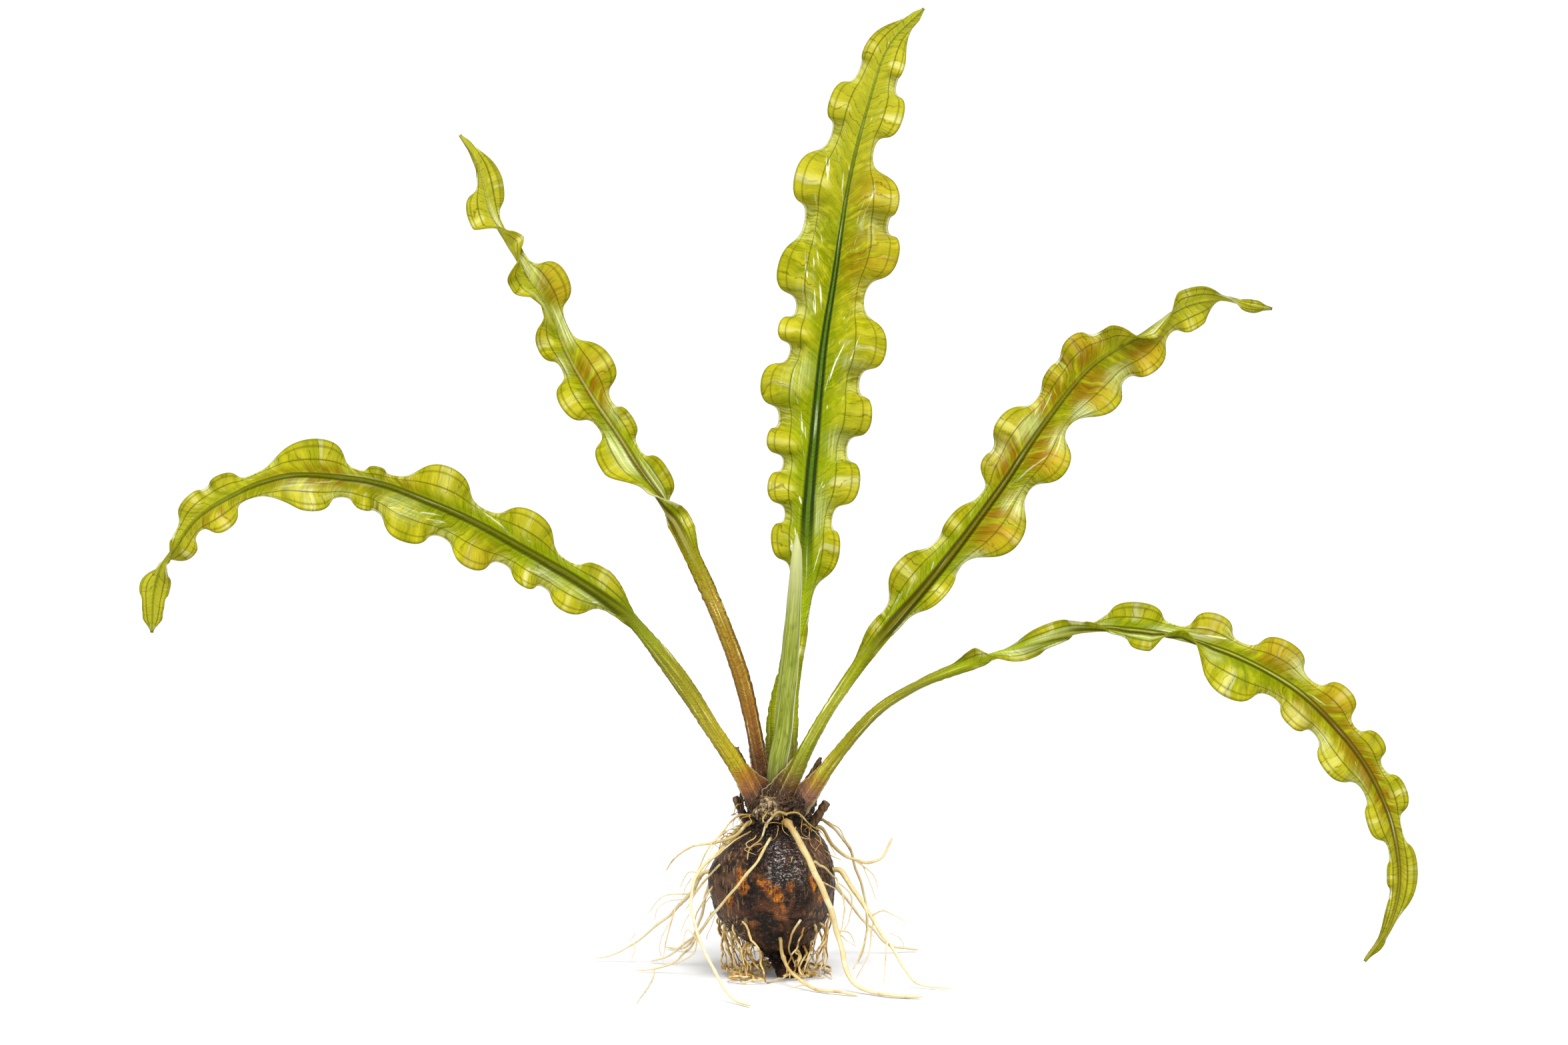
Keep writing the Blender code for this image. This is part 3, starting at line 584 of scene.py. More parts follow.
# Length over which the midrib fades, and the pale last stretch of the blade
RIB_FADES = 50
PALE_TIP = 80


def leaf_skin(name, plan):
    """Wet living leaf: translucent yellow-green tissue with dark veins, streaked between them,
    lighter with painted light on each crest, with a painted highlight band and painted glints
    there, a pale painted sheen in each notch and in patches, torn white streaks of painted
    highlight where it is wet, and browned in patches."""
    made, tree, out = new_material(name)
    along, side, share, slope, course, to_main, to_outer, to_edge, swing, rib, amber, milky = (
        add_node(tree, "Attribute", attribute_name=key).outputs["Fac"]
        for key in ("along", "side", "share", "slope", "course", "to_main", "to_outer",
                    "to_edge", "swing", "rib", "amber", "milky")
    )
    own_noise = 3.0 * len(plan["midrib"])
    place = add_node(tree, "CombineXYZ", {0: along, 1: side, 2: own_noise})
    wander, cloud, mottle, speck = (
        add_node(tree, "TexNoise", {"Vector": place.outputs[0], "Scale": 1 / size,
                                    "Detail": 3.0}).outputs["Fac"]
        for size in TISSUE_NOISES
    )
    wandered, winding = (
        add_node(tree, "Math", {0: wander, 1: reach, 2: course},
                 operation="MULTIPLY_ADD").outputs[0]
        for reach in (STREAK_WANDER, VEIN_WANDER)
    )

    def drawn_out(measures, grains, **settings):
        """Noise over three measures, each with its own number of grains to the mm."""
        spot = add_node(tree, "CombineXYZ", dict(enumerate(measures)))
        drawn = add_node(tree, "VectorMath", {0: spot.outputs[0], 1: grains},
                         operation="MULTIPLY")
        return add_node(tree, "TexNoise", {"Vector": drawn.outputs[0], "Scale": 1.0,
                                           **settings}).outputs["Fac"]

    streaks, pleats, bands = (
        drawn_out((wandered, side, step), (1 / step, 1 / step / stretch, 1.0), Detail=3.0)
        for step, stretch in ((STREAK_STEP, 9.0), (PLEAT_STEP, 12.0), (BAND_STEP, 7.0))
    )
    lines = drawn_out((along, side, own_noise), (0.07, 2.2, 1.0), Detail=4.0)

    # Tissue: olive by the midrib, yellower outwards and paler at the tip, streaked along the
    # cross veins
    tip = plan["left"][-1][0]
    faded = add_node(tree, "MapRange", {0: along, 1: tip - PALE_TIP, 2: tip - 20, 3: 1.0, 4: 0.2})
    blade = painted(
        tree, linear("#969E08"),
        ("#AEAA18", share, 0.25, 0.75),
        ("#C4BE28", bands, 0.42, 0.6, 0.5),
        ("#85980A", cloud, 0.45, 0.65, 0.4),
        ("#727806", streaks, 0.51, 0.66, 0.36),
        ("#CCC61C", streaks, 0.45, 0.34, 0.34),
        ("#767806", pleats, 0.52, 0.66, 0.28),
        ("#D6D030", pleats, 0.44, 0.32, 0.3),
        ("#828A06", mottle, 0.5, 0.64, 0.4),
        ("#CAC420", mottle, 0.46, 0.34, 0.4),
        ("#627A04", rib, 4.6, 1.2, faded.outputs[0], 0.4 + 0.18 * plan["fresh"]),
        ("#C0BC38", along, tip - 50, tip - 5, 0.6),
        ("#9CB008", along, plan["greenest"] + 50, plan["greenest"],
         passing(tree, share, 0.9, 0.4), 0.36),
    )

    # Crests, lighter with painted light falling through them, with a painted highlight band and
    # painted glints along each one's middle, and browned patches
    crest = passing(tree, swing, 0.3, 1.0, passing(tree, share, 0.1, 0.7))
    crest_highlight = passing(tree, swing, 0.93, 0.995, passing(tree, share, 0.3, 0.55))
    browned = tinted(tree, linear("#966E08"), "#CAAE2A", share, 0.3, 0.85)
    blade = painted(
        tree, blade,
        ("#CEC63A", bands, 0.3, 0.6, crest, 0.6),
        ("#E8E68C", bands, 0.42, 0.6, crest_highlight, 0.5),
        ("#F2F0BC", streaks, 0.54, 0.62, crest_highlight, 0.32),
        (browned, streaks, 0.34, 0.56, amber),
        ("#80580A", pleats, 0.54, 0.64, amber, 0.6),
    )

    # Cross veins that break up, running straight out over the crests, and notches, where the
    # blade turns its wet back to the light, painted pale as a painted sheen, with a painted
    # reflection along the rim; milky patches get the same painted sheen in pale streaks
    to_cross = add_node(tree, "Math", {0: winding, 1: CROSS_VEIN_STEP / 2}, operation="PINGPONG")
    notch = passing(tree, swing, 0.1, -0.9, passing(tree, share, 0.3, 0.8))
    blade = painted(
        tree, blade,
        ("#6E5A06", to_cross.outputs[0], 0.16, 0.03, passing(tree, cloud, 0.4, 0.56),
         passing(tree, speck, 0.34, 0.54), 0.68),
        ("#DEE08E", pleats, 0.62, 0.36, notch, 0.6),
        ("#F6F6DA", to_edge, 0.8, 0.4, notch, 0.65),
        ("#D4DA94", lines, 0.7, 0.44, milky, 0.85),
        ("#F2F4DE", lines, 0.45, 0.38, milky, 0.8),
    )

    # Water lying on the inner half, shown as torn white streaks of painted highlight
    half = add_node(tree, "Math", {0: side}, operation="SIGN")
    film = drawn_out((along, slope, half.outputs[0]), (0.07, 0.7, 7.0), Detail=6.0,
                     Roughness=0.62, Distortion=1.6)
    inner = passing(tree, share, 0.72, 0.55, passing(tree, rib, 1.1, 1.6))
    water_glint = passing(tree, film, 0.62, 0.66, inner, 0.35 + 0.6 * plan["fresh"])
    blade = tinted(tree, blade, "#F0F3DC", water_glint, 0.0, 1.0)

    # Two long veins in each half, and the thin dark margin
    for to_vein, strength in ((to_main, 0.75), (to_outer, 0.5)):
        off = add_node(tree, "Math", {0: to_vein}, operation="ABSOLUTE")
        blade = tinted(tree, blade, "#62620A", off.outputs[0], 0.2, 0.03, strength)
    blade = tinted(tree, blade, "#74740A", to_edge, 0.28, 0.1, 0.5)

    # Midrib: two dark lines with a paler ridge between them, browner where it has aged
    on_blade = passing(tree, along, plan["greenest"] - 34, plan["greenest"] - 8)
    thinning = add_node(tree, "MapRange", {
        0: along, 1: plan["rib_until"] - RIB_FADES, 2: plan["rib_until"], 3: 1.0, 4: 0.4,
    }).outputs[0]
    sides, core = plan["rib_tones"]
    blade = painted(
        tree, blade,
        (sides, rib, 1.7, 0.9, on_blade, thinning),
        (core, rib, 0.55, 0.2, on_blade, 0.7),
    )
    if "aged_from" in plan:
        aged = passing(tree, along, plan["aged_from"], plan["aged_from"] + 14)
        blade = tinted(tree, blade, "#54400A", rib, 1.9, 1.0, aged, thinning, 0.85)
    # Painted highlights: pale lines along the midrib's ridge, stronger on fresher leaves
    blade = tinted(tree, blade, "#B4BC92", lines, 0.56, 0.68, passing(tree, rib, 0.6, 0.3),
                   0.2 + 0.4 * plan["fresh"])

    # Stalk, browner towards the crown, with lengthwise streaks, pale lengthwise lines of painted
    # highlight above its foot, and rough dark edges
    stalk_tones = plan["stalk_tones"]
    stem = painted(
        tree, linear(stalk_tones[0][1]),
        *((tone, along, start, end)
          for (start, _), (end, tone) in zip(stalk_tones, stalk_tones[1:])),
        ("#332E08", lines, 0.46, 0.62, 0.35),
        ("#D8CC50", lines, 0.46, 0.34, 0.25),
        ("#F0EDB4", lines, 0.37, 0.3, passing(tree, along, 4.0, 10.0), 0.7),
        ("#86480E", speck, 0.5, 0.64, plan["rusty"]),
        ("#C8B088", speck, 0.36, 0.28, passing(tree, along, 10.0, 1.0), 0.35),
        ("#C4AE86", to_edge, 0.34, 0.18, passing(tree, along, 6.0, 4.0), 0.7),
        ("#4A2A0C", to_edge, 0.5, 0.1, plan["rusty"], passing(tree, speck, 0.4, 0.6)),
    )

    stalk_top = plan["right"][0][0]
    skin = tinted(tree, stem, blade, along, stalk_top - BLADE_STARTS, stalk_top + 10)
    relief = add_node(tree, "Math", {0: streaks, 1: pleats}, operation="ADD")
    bump = add_node(tree, "Bump", {"Strength": 0.7, "Distance": 0.4 * MM,
                                   "Height": relief.outputs[0]})
    wet = add_node(tree, "Math", {0: water_glint, 1: passing(tree, along, stalk_top, stalk_top - 10.0)},
                   operation="MAXIMUM")
    gloss = add_node(tree, "MapRange", {0: wet.outputs[0], 3: 0.04, 4: 0.27})
    cuticle = add_node(tree, "BsdfPrincipled", {
        "Base Color": skin, "Roughness": 0.28, "IOR": 1.4,
        "Specular IOR Level": gloss.outputs[0], "Normal": bump.outputs[0]})
    glow = add_node(tree, "BsdfTranslucent", {"Color": skin, "Normal": bump.outputs[0]})
    thin = add_node(tree, "MapRange", {0: rib, 1: 0.8, 2: 2.0, 3: 0.15, 4: 0.5})
    both = add_node(tree, "MixShader", {0: thin.outputs[0], 1: cuticle.outputs[0],
                                        2: glow.outputs[0]})
    tree.links.new(both.outputs[0], out.inputs["Surface"])
    return made


for name, plan in LEAVES.items():
    leaf = grown_leaf(name, plan)
    leaf.data.materials.append(leaf_skin("wet leaf tissue " + name.replace("leaf_", ""), plan))


# Young leaf
# The newest leaf, still rolled round itself into a pointed spear. Thin tissue like the grown
# leaves, pale where the roll hides it from light, with a highlight painted white along the
# edge where it overlaps.

# Place and radius from its foot to its tip
YOUNG_LEAF = [
    (-0.9, -0.4, 39.2, 2.0), (-0.9, -0.4, 43.2, 2.2), (-0.4, -0.4, 49.0, 2.3),
    (0.6, -0.4, 54.5, 2.2), (1.2, -0.2, 61.0, 2.1), (1.9, -0.4, 68.5, 2.1),
    (2.4, -0.5, 75.5, 2.0), (2.9, -0.7, 82.5, 1.7), (3.4, -0.8, 89.5, 1.5),
    (3.7, -0.9, 95.5, 1.1), (3.7, -0.9, 99.6, 0.15),
]
ROLL_ROWS = 160
ROLL_COLUMNS = 64
# Turns that it is rolled, where its seam lies, how much tighter it is inside, how far the
# seam winds on its way up, and the rucks in it: how many each way and how deep
ROLL_TURNS = 1.22
ROLL_SEAM = math.radians(-24)
ROLL_SPREAD = 0.16
ROLL_WIND = 0.5
ROLL_THICK = 0.3
RUCKS_ALONG = 14
RUCKS_ROUND = 9
RUCK_DEPTH = 0.10

path, distance = smooth_path(YOUNG_LEAF, ROLL_ROWS)
sheet, flat = flat_sheet(ROLL_ROWS - 1, ROLL_COLUMNS)
row, turned = (flat[:, 0] + 1) / 2, (flat[:, 1] + 1) / 2
middle = np.stack([np.interp(row * distance[-1], distance, values) for values in path.T], axis=1)
ruck = np.array([noise.noise(Vector((r * RUCKS_ALONG, t * RUCKS_ROUND, 3.0)))
                 for r, t in zip(row, turned)])
radius = middle[:, 3] * (1 - ROLL_SPREAD * (1 - turned))
radius += RUCK_DEPTH * ruck * np.minimum(middle[:, 3], 1)
angle = ROLL_SEAM - 2 * np.pi * ROLL_TURNS * (1 - turned) + ROLL_WIND * row
for vertex, (x, y, z, _), r, a in zip(sheet.verts, middle, radius, angle):
    vertex.co = ((x + r * math.cos(a)) * MM, (y + r * math.sin(a)) * MM, z * MM)
spear_mesh = as_mesh("young leaf", sheet)
spear_mesh.shade_smooth()
add_attributes(spear_mesh, {"along": row, "round": turned})
spear = add_object("young_leaf_rolled", spear_mesh)
thickened(spear, ROLL_THICK, 1.0)

# Pale green tissue with long veins, bleaching to cream at the tip, and painted white along
# the outer edge as a painted highlight
made, tree, out = new_material("young leaf tissue")
along, around = (add_node(tree, "Attribute", attribute_name=key).outputs["Fac"]
                 for key in ("along", "round"))
spot = add_node(tree, "CombineXYZ", {0: along, 1: around, 2: 0.0})
lines, mottle = (
    add_node(tree, "TexNoise", {
        "Vector": add_node(tree, "Mapping", {"Vector": spot.outputs[0], "Scale": grains}).outputs[0],
        "Scale": 1.0, "Detail": detail}).outputs["Fac"]
    for grains, detail in (((5.0, 46.0, 1.0), 3.0), ((22.0, 16.0, 1.0), 4.0))
)
tone = painted(
    tree, linear("#74801E"),
    ("#A2A852", lines, 0.38, 0.66),
    ("#52620A", mottle, 0.5, 0.7, 0.5),
    ("#C2C488", along, 0.62, 0.97, 0.85),
    ("#EDEBD6", around, 0.955, 0.99, 0.95),
    ("#4A4026", along, 0.2, 0.03, 0.9),
)
bump = add_node(tree, "Bump", {"Strength": 0.4, "Distance": 0.3 * MM, "Height": lines})
cuticle = add_node(tree, "BsdfPrincipled", {"Base Color": tone, "Roughness": 0.26, "IOR": 1.42,
                                            "Specular IOR Level": 0.2,
                                            "Normal": bump.outputs[0]})
glow = add_node(tree, "BsdfTranslucent", {"Color": tone, "Normal": bump.outputs[0]})
both = add_node(tree, "MixShader", {0: 0.25, 1: cuticle.outputs[0], 2: glow.outputs[0]})
tree.links.new(both.outputs[0], out.inputs["Surface"])
spear_mesh.materials.append(made)
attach(spear, "root")
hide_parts("leaf_young")


# Bulb
# The tuber: a dark, wet, corky ball with a neck of old leaf bases and a knob below. Its skin
# cracks into overlapping scales, worn through to rust-coloured flesh in a few places.

# Height, centre across and radius, from its tip to the crown where the leaves start
BULB_RINGS = [
    (0.0, 1.5, 2.2), (1.8, 1.8, 3.1), (3.6, 1.8, 3.9), (5.6, 1.3, 4.7), (7.4, 0.4, 6.4),
    (9.4, -0.8, 8.8), (12.5, -1.4, 11.4), (16.2, -1.5, 13.2), (21.3, -1.5, 14.1),
    (25.2, -1.5, 13.4), (28.8, -1.3, 11.7), (31.6, -0.8, 9.6), (33.8, -0.2, 8.0),
    (35.6, 0.1, 7.2), (37.8, 0.1, 7.5), (39.6, 0.2, 7.9), (40.8, 0.2, 7.3), (41.4, 0.2, 5.6),
]
BULB_CAP = (41.6, 0.2, 0.0)
BULB_LUMP = 0.022
BULB_SIDES = 300
BULB_ROWS = 240
# The bark's scales: their size, how deep their edges are, how wide the cracks between them
BARK_SCALE = 10.0
BARK_EDGE = 0.25
BARK_CRACK = 0.12
# Depth and number of the wrinkles, coarse and fine, and depth of the grain on them
WRINKLE = 0.16
COARSE_WRINKLES = 15.0
FINE_WRINKLES = 34.0
CORK_GRAIN = 0.14
NECK_FROM = 31.0
NECK_ROUGH = 0.8
KNOB_TOP = 8.6
KNOB_ROUGH = 1.2
# Worn places on the front: across, height, half width, half height and strength
RUST_PATCHES = [
    (-3.4, 23.4, 1.3, 0.9, 1.0), (-1.9, 22.0, 1.6, 1.2, 1.1), (-0.4, 20.4, 1.5, 1.4, 1.1),
    (0.2, 17.0, 1.9, 1.9, 0.65), (-8.3, 23.6, 1.2, 2.6, 0.9), (7.1, 23.4, 0.8, 2.6, 0.9),
    (-5.7, 14.2, 1.3, 1.0, 0.55), (-10.9, 18.6, 0.7, 1.8, 0.6), (9.0, 19.6, 0.7, 2.0, 0.8),
    (-4.6, 25.2, 1.5, 1.2, 0.35),
]
RUST_RAGGED = 0.9
RUST_EDGE = 1.5
# Across, height and half width of the torn fibrous patch on the neck, and how far it rises
FIBRE_KNOB = (-2.5, 38.8, 2.9)
FIBRE_KNOB_RISE = 1.1
# The worn places and the torn patch are only on the front, up to this depth
FRONT_DEPTH = 2.0
# The noise that bends cracks, roots and rootlets is drawn from this seed, not from the clock
NOISE_SEED = 7
noise.seed_set(NOISE_SEED)


def between(value, low, high):
    """Share from 0 to 1 of the way from one level to another."""
    return min(max((value - low) / (high - low), 0.0), 1.0)


profile, _ = smooth_path([(0.0, 0.0, 0.0)] + BULB_RINGS + [BULB_CAP], BULB_ROWS + 1)
rows = np.arange(BULB_ROWS + 1)
ball = bmesh.new()
bmesh.ops.create_uvsphere(ball, u_segments=BULB_SIDES, v_segments=BULB_ROWS, radius=1.0)
marks = {"rust": [], "fibre": [], "groove": [], "neck": []}
for vertex in ball.verts:
    polar = math.acos(max(-1.0, min(1.0, -vertex.co.z))) / math.pi * BULB_ROWS
    around = math.atan2(vertex.co.y, vertex.co.x)
    z, x, r = (float(np.interp(polar, rows, values)) for values in profile.T)
    lump = math.sin(3 * around + 0.25 * z) + 0.7 * math.sin(5 * around - 0.4 * z + 1)
    r *= 1 + BULB_LUMP * lump * math.sin(math.pi * between(z, 0.0, BULB_RINGS[-1][0]))
    place = Vector((x + r * math.cos(around), r * math.sin(around), z))
    front = 1.0 if place.y < FRONT_DEPTH else 0.0

    # Cracks between the bark's scales, then wrinkles and grain, rougher on neck and knob
    warped = place / BARK_SCALE + 0.3 * noise.noise_vector(place / 6.0)
    warped.z *= 0.6
    gaps, _ = noise.voronoi(warped)
    crack = 1 - min((gaps[1] - gaps[0]) / BARK_CRACK, 1.0)
    body = min(z / 4.0, 1.0) * between(r, 1.0, 4.0)
    neck = between(z, NECK_FROM, NECK_FROM + 3.0) * between(r, 3.0, 6.0)
    knob = between(KNOB_TOP - z, 0.0, 2.5)
    bend = around + 0.03 * z + 0.25 * noise.noise(place / 7.0)
    coarse = noise.noise(Vector((bend * COARSE_WRINKLES, z / 6.0, 2.0)))
    fine = noise.noise(Vector((bend * FINE_WRINKLES, z / 5.0, 6.0)))
    flaky = noise.noise(Vector((around * 5.0, z / 1.6, 5.0))) + 0.7 * noise.noise(place / 0.7)
    swell = 0.45 * noise.noise(place / 6.0) - BARK_EDGE * crack ** 2
    swell += WRINKLE * (coarse + 0.5 * fine)
    swell += CORK_GRAIN * (noise.noise(place / 0.8) + 0.6 * noise.noise(place / 0.4))
    swell += NECK_ROUGH * neck * flaky
    swell += KNOB_ROUGH * knob * (noise.noise(place / 1.1) + 0.8 * noise.noise(place / 0.5))

    frayed = place + 1.6 * noise.noise_vector(place / 1.8)
    off = ((frayed.x - FIBRE_KNOB[0]) ** 2 + (frayed.z - FIBRE_KNOB[1]) ** 2) / FIBRE_KNOB[2] ** 2
    tufted = math.exp(-off ** 2) * front
    r += swell * body + FIBRE_KNOB_RISE * tufted * (1 + noise.noise(place / 0.9))
    vertex.co = ((x + r * math.cos(around)) * MM, r * math.sin(around) * MM, max(z, 0.0) * MM)

    stray = noise.noise_vector(place / 2.4) + 0.5 * noise.noise_vector(place / 0.9)
    ragged = place + RUST_RAGGED * stray
    worn = 0.0
    for across, up, wide, tall, strength in RUST_PATCHES:
        off = ((ragged.x - across) / wide) ** 2 + ((ragged.z - up) / tall) ** 2
        worn = max(worn, strength * math.exp(-off ** RUST_EDGE) * front)
    spare = max(noise.noise(ragged / 4.5 + Vector((9.0, 4.0, 2.0))) - 0.36, 0.0) * 1.3
    marks["rust"].append(max(worn, spare if z < 28 else 0.0))
    marks["fibre"].append(tufted)
    marks["groove"].append(crack)
    marks["neck"].append(max(neck, 0.35 * knob))
bulb_mesh = as_mesh("bulb", ball)
bulb_mesh.shade_smooth()
add_attributes(bulb_mesh, marks)
tuber = add_object("tuber", bulb_mesh)


def in_millimetres(tree):
    """The place on the plant in mm, and its measures across, deep and high."""
    where = add_node(tree, "TexCoord").outputs["Object"]
    place = add_node(tree, "Mapping", {"Vector": where, "Scale": (1 / MM, 1 / MM, 1 / MM)})
    apart = add_node(tree, "SeparateXYZ", {0: place.outputs[0]})
    return place.outputs[0], *apart.outputs


# Corky bulb skin, wet: dark brown with paler fibres on the flanks, blackish on the neck and
# the knob, rust where worn, and straw-coloured where fibre is torn, with painted glints on the
# pimples of its wet upper front and of its neck
made, tree, out = new_material("wet corky bulb skin")
spot, across, _, height = in_millimetres(tree)
stretched, squashed = (
    add_node(tree, "Mapping", {"Vector": spot, "Scale": (1.0, 1.0, tall)}).outputs[0]
    for tall in (0.16, 2.2)
)
broad, grain, pimple, strands = (
    add_node(tree, "TexNoise", {"Vector": place, "Scale": grains, **settings}).outputs["Fac"]
    for place, grains, settings in (
        (spot, 0.22, {"Detail": 4.0}),
        (spot, 0.95, {"Detail": 5.0, "Roughness": 0.6}),
        (squashed, 1.5, {"Detail": 2.0}),
        (stretched, 1.9, {"Detail": 4.0, "Distortion": 0.7}),
    )
)
rust, fibre, groove, neck = (add_node(tree, "Attribute", attribute_name=key).outputs["Fac"]
                             for key in ("rust", "fibre", "groove", "neck"))
# Distance to each side from the bulb's middle and from the middle of its wettest place
shifted = [add_node(tree, "Math", {0: across, 1: shift}, operation="ADD") for shift in (1.3, -1.4)]
flank, beside = (add_node(tree, "Math", {0: off.outputs[0]}, operation="ABSOLUTE").outputs[0]
                 for off in shifted)
# The upper front is wettest: nearly black, with painted glints of light on its pimples
shining = passing(tree, height, 21.5, 25.0, passing(tree, height, 34.0, 31.0),
                  passing(tree, beside, 5.4, 2.6), passing(tree, rust, 0.35, 0.1),
                  passing(tree, grain, 0.4, 0.52))
flesh = painted(
    tree, linear("#46200A"),
    ("#9C560E", grain, 0.4, 0.56),
    ("#CC8E22", strands, 0.53, 0.64, 0.7),
    ("#804E2E", height, 19.0, 17.0, 0.7),
)
straw = tinted(tree, linear("#40301E"), "#AA9470", strands, 0.42, 0.6)
tone = painted(
    tree, linear("#150B05"),
    ("#452714", broad, 0.44, 0.6),
    ("#6E4526", grain, 0.52, 0.66, 0.7),
    ("#503828", flank, 5.5, 9.5, passing(tree, broad, 0.38, 0.54), 0.85),
    ("#8C6E4A", strands, 0.54, 0.66, passing(tree, flank, 5.5, 9.5), 0.75),
    ("#A08460", strands, 0.52, 0.62, passing(tree, across, -6.0, -9.0),
     passing(tree, height, 17.0, 14.0), 0.8),
    ("#7C5A3A", strands, 0.6, 0.72, 0.4),
    ("#0E0704", groove, 0.3, 1.0, 0.7),
    ("#160C07", shining, 0.1, 0.9, 0.6),
    # Painted glints: pale flecks on the pimples of the wet upper front
    ("#A69A8C", pimple, 0.6, 0.66, shining, 0.6),
    (flesh, rust, 0.1, 0.7, passing(tree, grain, 0.26, 0.44), 0.92),
    ("#0E0805", neck, 0.1, 0.6, 0.8),
    # Painted glints: pale flecks on the pimples of the neck
    ("#8C7C60", pimple, 0.62, 0.7, passing(tree, neck, 0.2, 0.8), 0.6),
    ("#4A3422", height, 36.5, 38.5, passing(tree, grain, 0.42, 0.55), 0.85),
    (straw, fibre, 0.2, 0.7, passing(tree, grain, 0.3, 0.5)),
)
glints = passing(tree, pimple, 0.48, 0.56, shining)
relief = add_node(tree, "Math", {0: pimple, 1: strands}, operation="ADD")
bump = add_node(tree, "Bump", {"Strength": 0.7, "Distance": 0.8 * MM, "Height": relief.outputs[0]})
dry = add_node(tree, "MapRange", {0: flank, 1: 5.0, 2: 11.0, 3: 0.16, 4: 0.4})
gloss = add_node(tree, "MapRange", {0: glints, 3: 0.1, 4: 1.0})
skin = add_node(tree, "BsdfPrincipled", {"Base Color": tone, "Roughness": dry.outputs[0],
                                         "IOR": 1.7, "Specular IOR Level": gloss.outputs[0],
                                         "Normal": bump.outputs[0]})
tree.links.new(skin.outputs[0], out.inputs["Surface"])
bulb_mesh.materials.append(made)
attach(tuber, "root")
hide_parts("bulb")


# Papery scales and old stalks at the crown
# Dry remains of leaf bases: two curved scales with frayed rims beside the stalks, and two
# cut-off stalks on the neck. Brown, fibrous and brittle.

# Foot, tip and width at the foot
SCALES = {
    "sheath_left": ((-6.4, -0.4, 41.0), (-9.6, -1.2, 51.8), 3.8),
    "sheath_right": ((5.4, -0.8, 41.0), (9.0, -1.8, 49.6), 3.4),
}
SCALE_THICK = 0.3
SCALE_ROWS = 60
SCALE_COLUMNS = 24
# A scale narrows by this power to a tip this wide, is frayed, bowed and rucked this far
SCALE_TAPER = 0.7
SCALE_TIP = 0.12
SCALE_FRAY = 0.35
SCALE_BOW = 1.3
SCALE_RUCK = 0.25
# Foot, cut end and radius
STUBS = {
    "old_stalk_left": ((-7.4, -0.4, 34.6), (-9.9, -0.8, 40.6), 1.0),
    "old_stalk_right": ((7.2, -1.3, 34.6), (10.3, -2.2, 39.6), 1.1),
}
STUB_STEPS = 24
STUB_UNEVEN = 0.22
STUB_TAPER = 0.15

# Dry leaf-base fibre: brittle, hardly shining, streaked lengthwise in two browns
papery, tree, out = new_material("dry leaf base fibre")
spot, *_ = in_millimetres(tree)
streaked = add_node(tree, "Mapping", {"Vector": spot, "Scale": (1.6, 1.6, 0.22)})
lines = add_node(tree, "TexNoise", {"Vector": streaked.outputs[0], "Scale": 1.0, "Detail": 4.0})
tone = tinted(tree, linear("#2A1A0E"), "#70522C", lines.outputs["Fac"], 0.38, 0.72)
bump = add_node(tree, "Bump", {"Strength": 0.7, "Distance": 0.4 * MM,
                               "Height": lines.outputs["Fac"]})
fibre = add_node(tree, "BsdfPrincipled", {"Base Color": tone, "Roughness": 0.5,
                                          "Specular IOR Level": 0.3, "Normal": bump.outputs[0]})
tree.links.new(fibre.outputs[0], out.inputs["Surface"])

for name, (foot, tip, wide) in SCALES.items():
    foot, tip = np.array(foot), np.array(tip)
    sheet, _ = flat_sheet(SCALE_ROWS, SCALE_COLUMNS)
    for vertex in sheet.verts:
        up, side = (vertex.co.x + 1) / 2, vertex.co.y
        half = wide / 2 * (1 - up) ** SCALE_TAPER + SCALE_TIP
        fray = SCALE_FRAY * noise.noise(Vector((up * 9, side * 6, wide))) * abs(side)
        bow = SCALE_BOW * (1 - side ** 2) * (1 - up)
        bow += SCALE_RUCK * noise.noise(Vector((up * 6, side * 3, 1)))
        vertex.co = (foot + (tip - foot) * up + np.array([(half + fray) * side, -bow, 0.0])) * MM
    scale = add_object(name + "_papery", as_mesh(name, sheet))
    scale.data.materials.append(papery)
    scale.data.shade_smooth()
    thickened(scale, SCALE_THICK, -1.0)
    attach(scale, "root")
    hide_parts(name)


def strand_piece(name, routes, look, sides=3):
    """One curve object of round strands; each route is its places in mm and a radius at each."""
    curve = bpy.data.curves.new(name, "CURVE")
    curve.dimensions = "3D"
    curve.bevel_depth = MM
    curve.bevel_resolution = sides
    curve.use_fill_caps = True
    for places, radii in routes:
        strand = curve.splines.new("POLY")
        strand.points.add(len(places) - 1)
        strand.use_smooth = True
        flat = np.column_stack([np.asarray(places) * MM, np.ones(len(places))]).ravel()
        strand.points.foreach_set("co", flat)
        strand.points.foreach_set("radius", np.asarray(radii, float))
    curve.materials.append(look)
    made = add_object(name, curve)
    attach(made, "root")
    return made


for name, (foot, cut, radius) in STUBS.items():
    places, distance = smooth_path([foot, cut], STUB_STEPS)
    wobble = np.array([noise.noise(Vector((d, radius, 3.0))) for d in distance])
    radii = radius * (1 + STUB_UNEVEN * wobble - STUB_TAPER * np.linspace(0, 1, STUB_STEPS))
    stub = strand_piece(name + "_withered", [(places, radii)], papery)
    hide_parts(name)


# Roots
# Fleshy cream roots from the neck and the bulb's flanks. They arch out and down to the
# surface, browner where they leave the bulb, with small knots where side roots start.

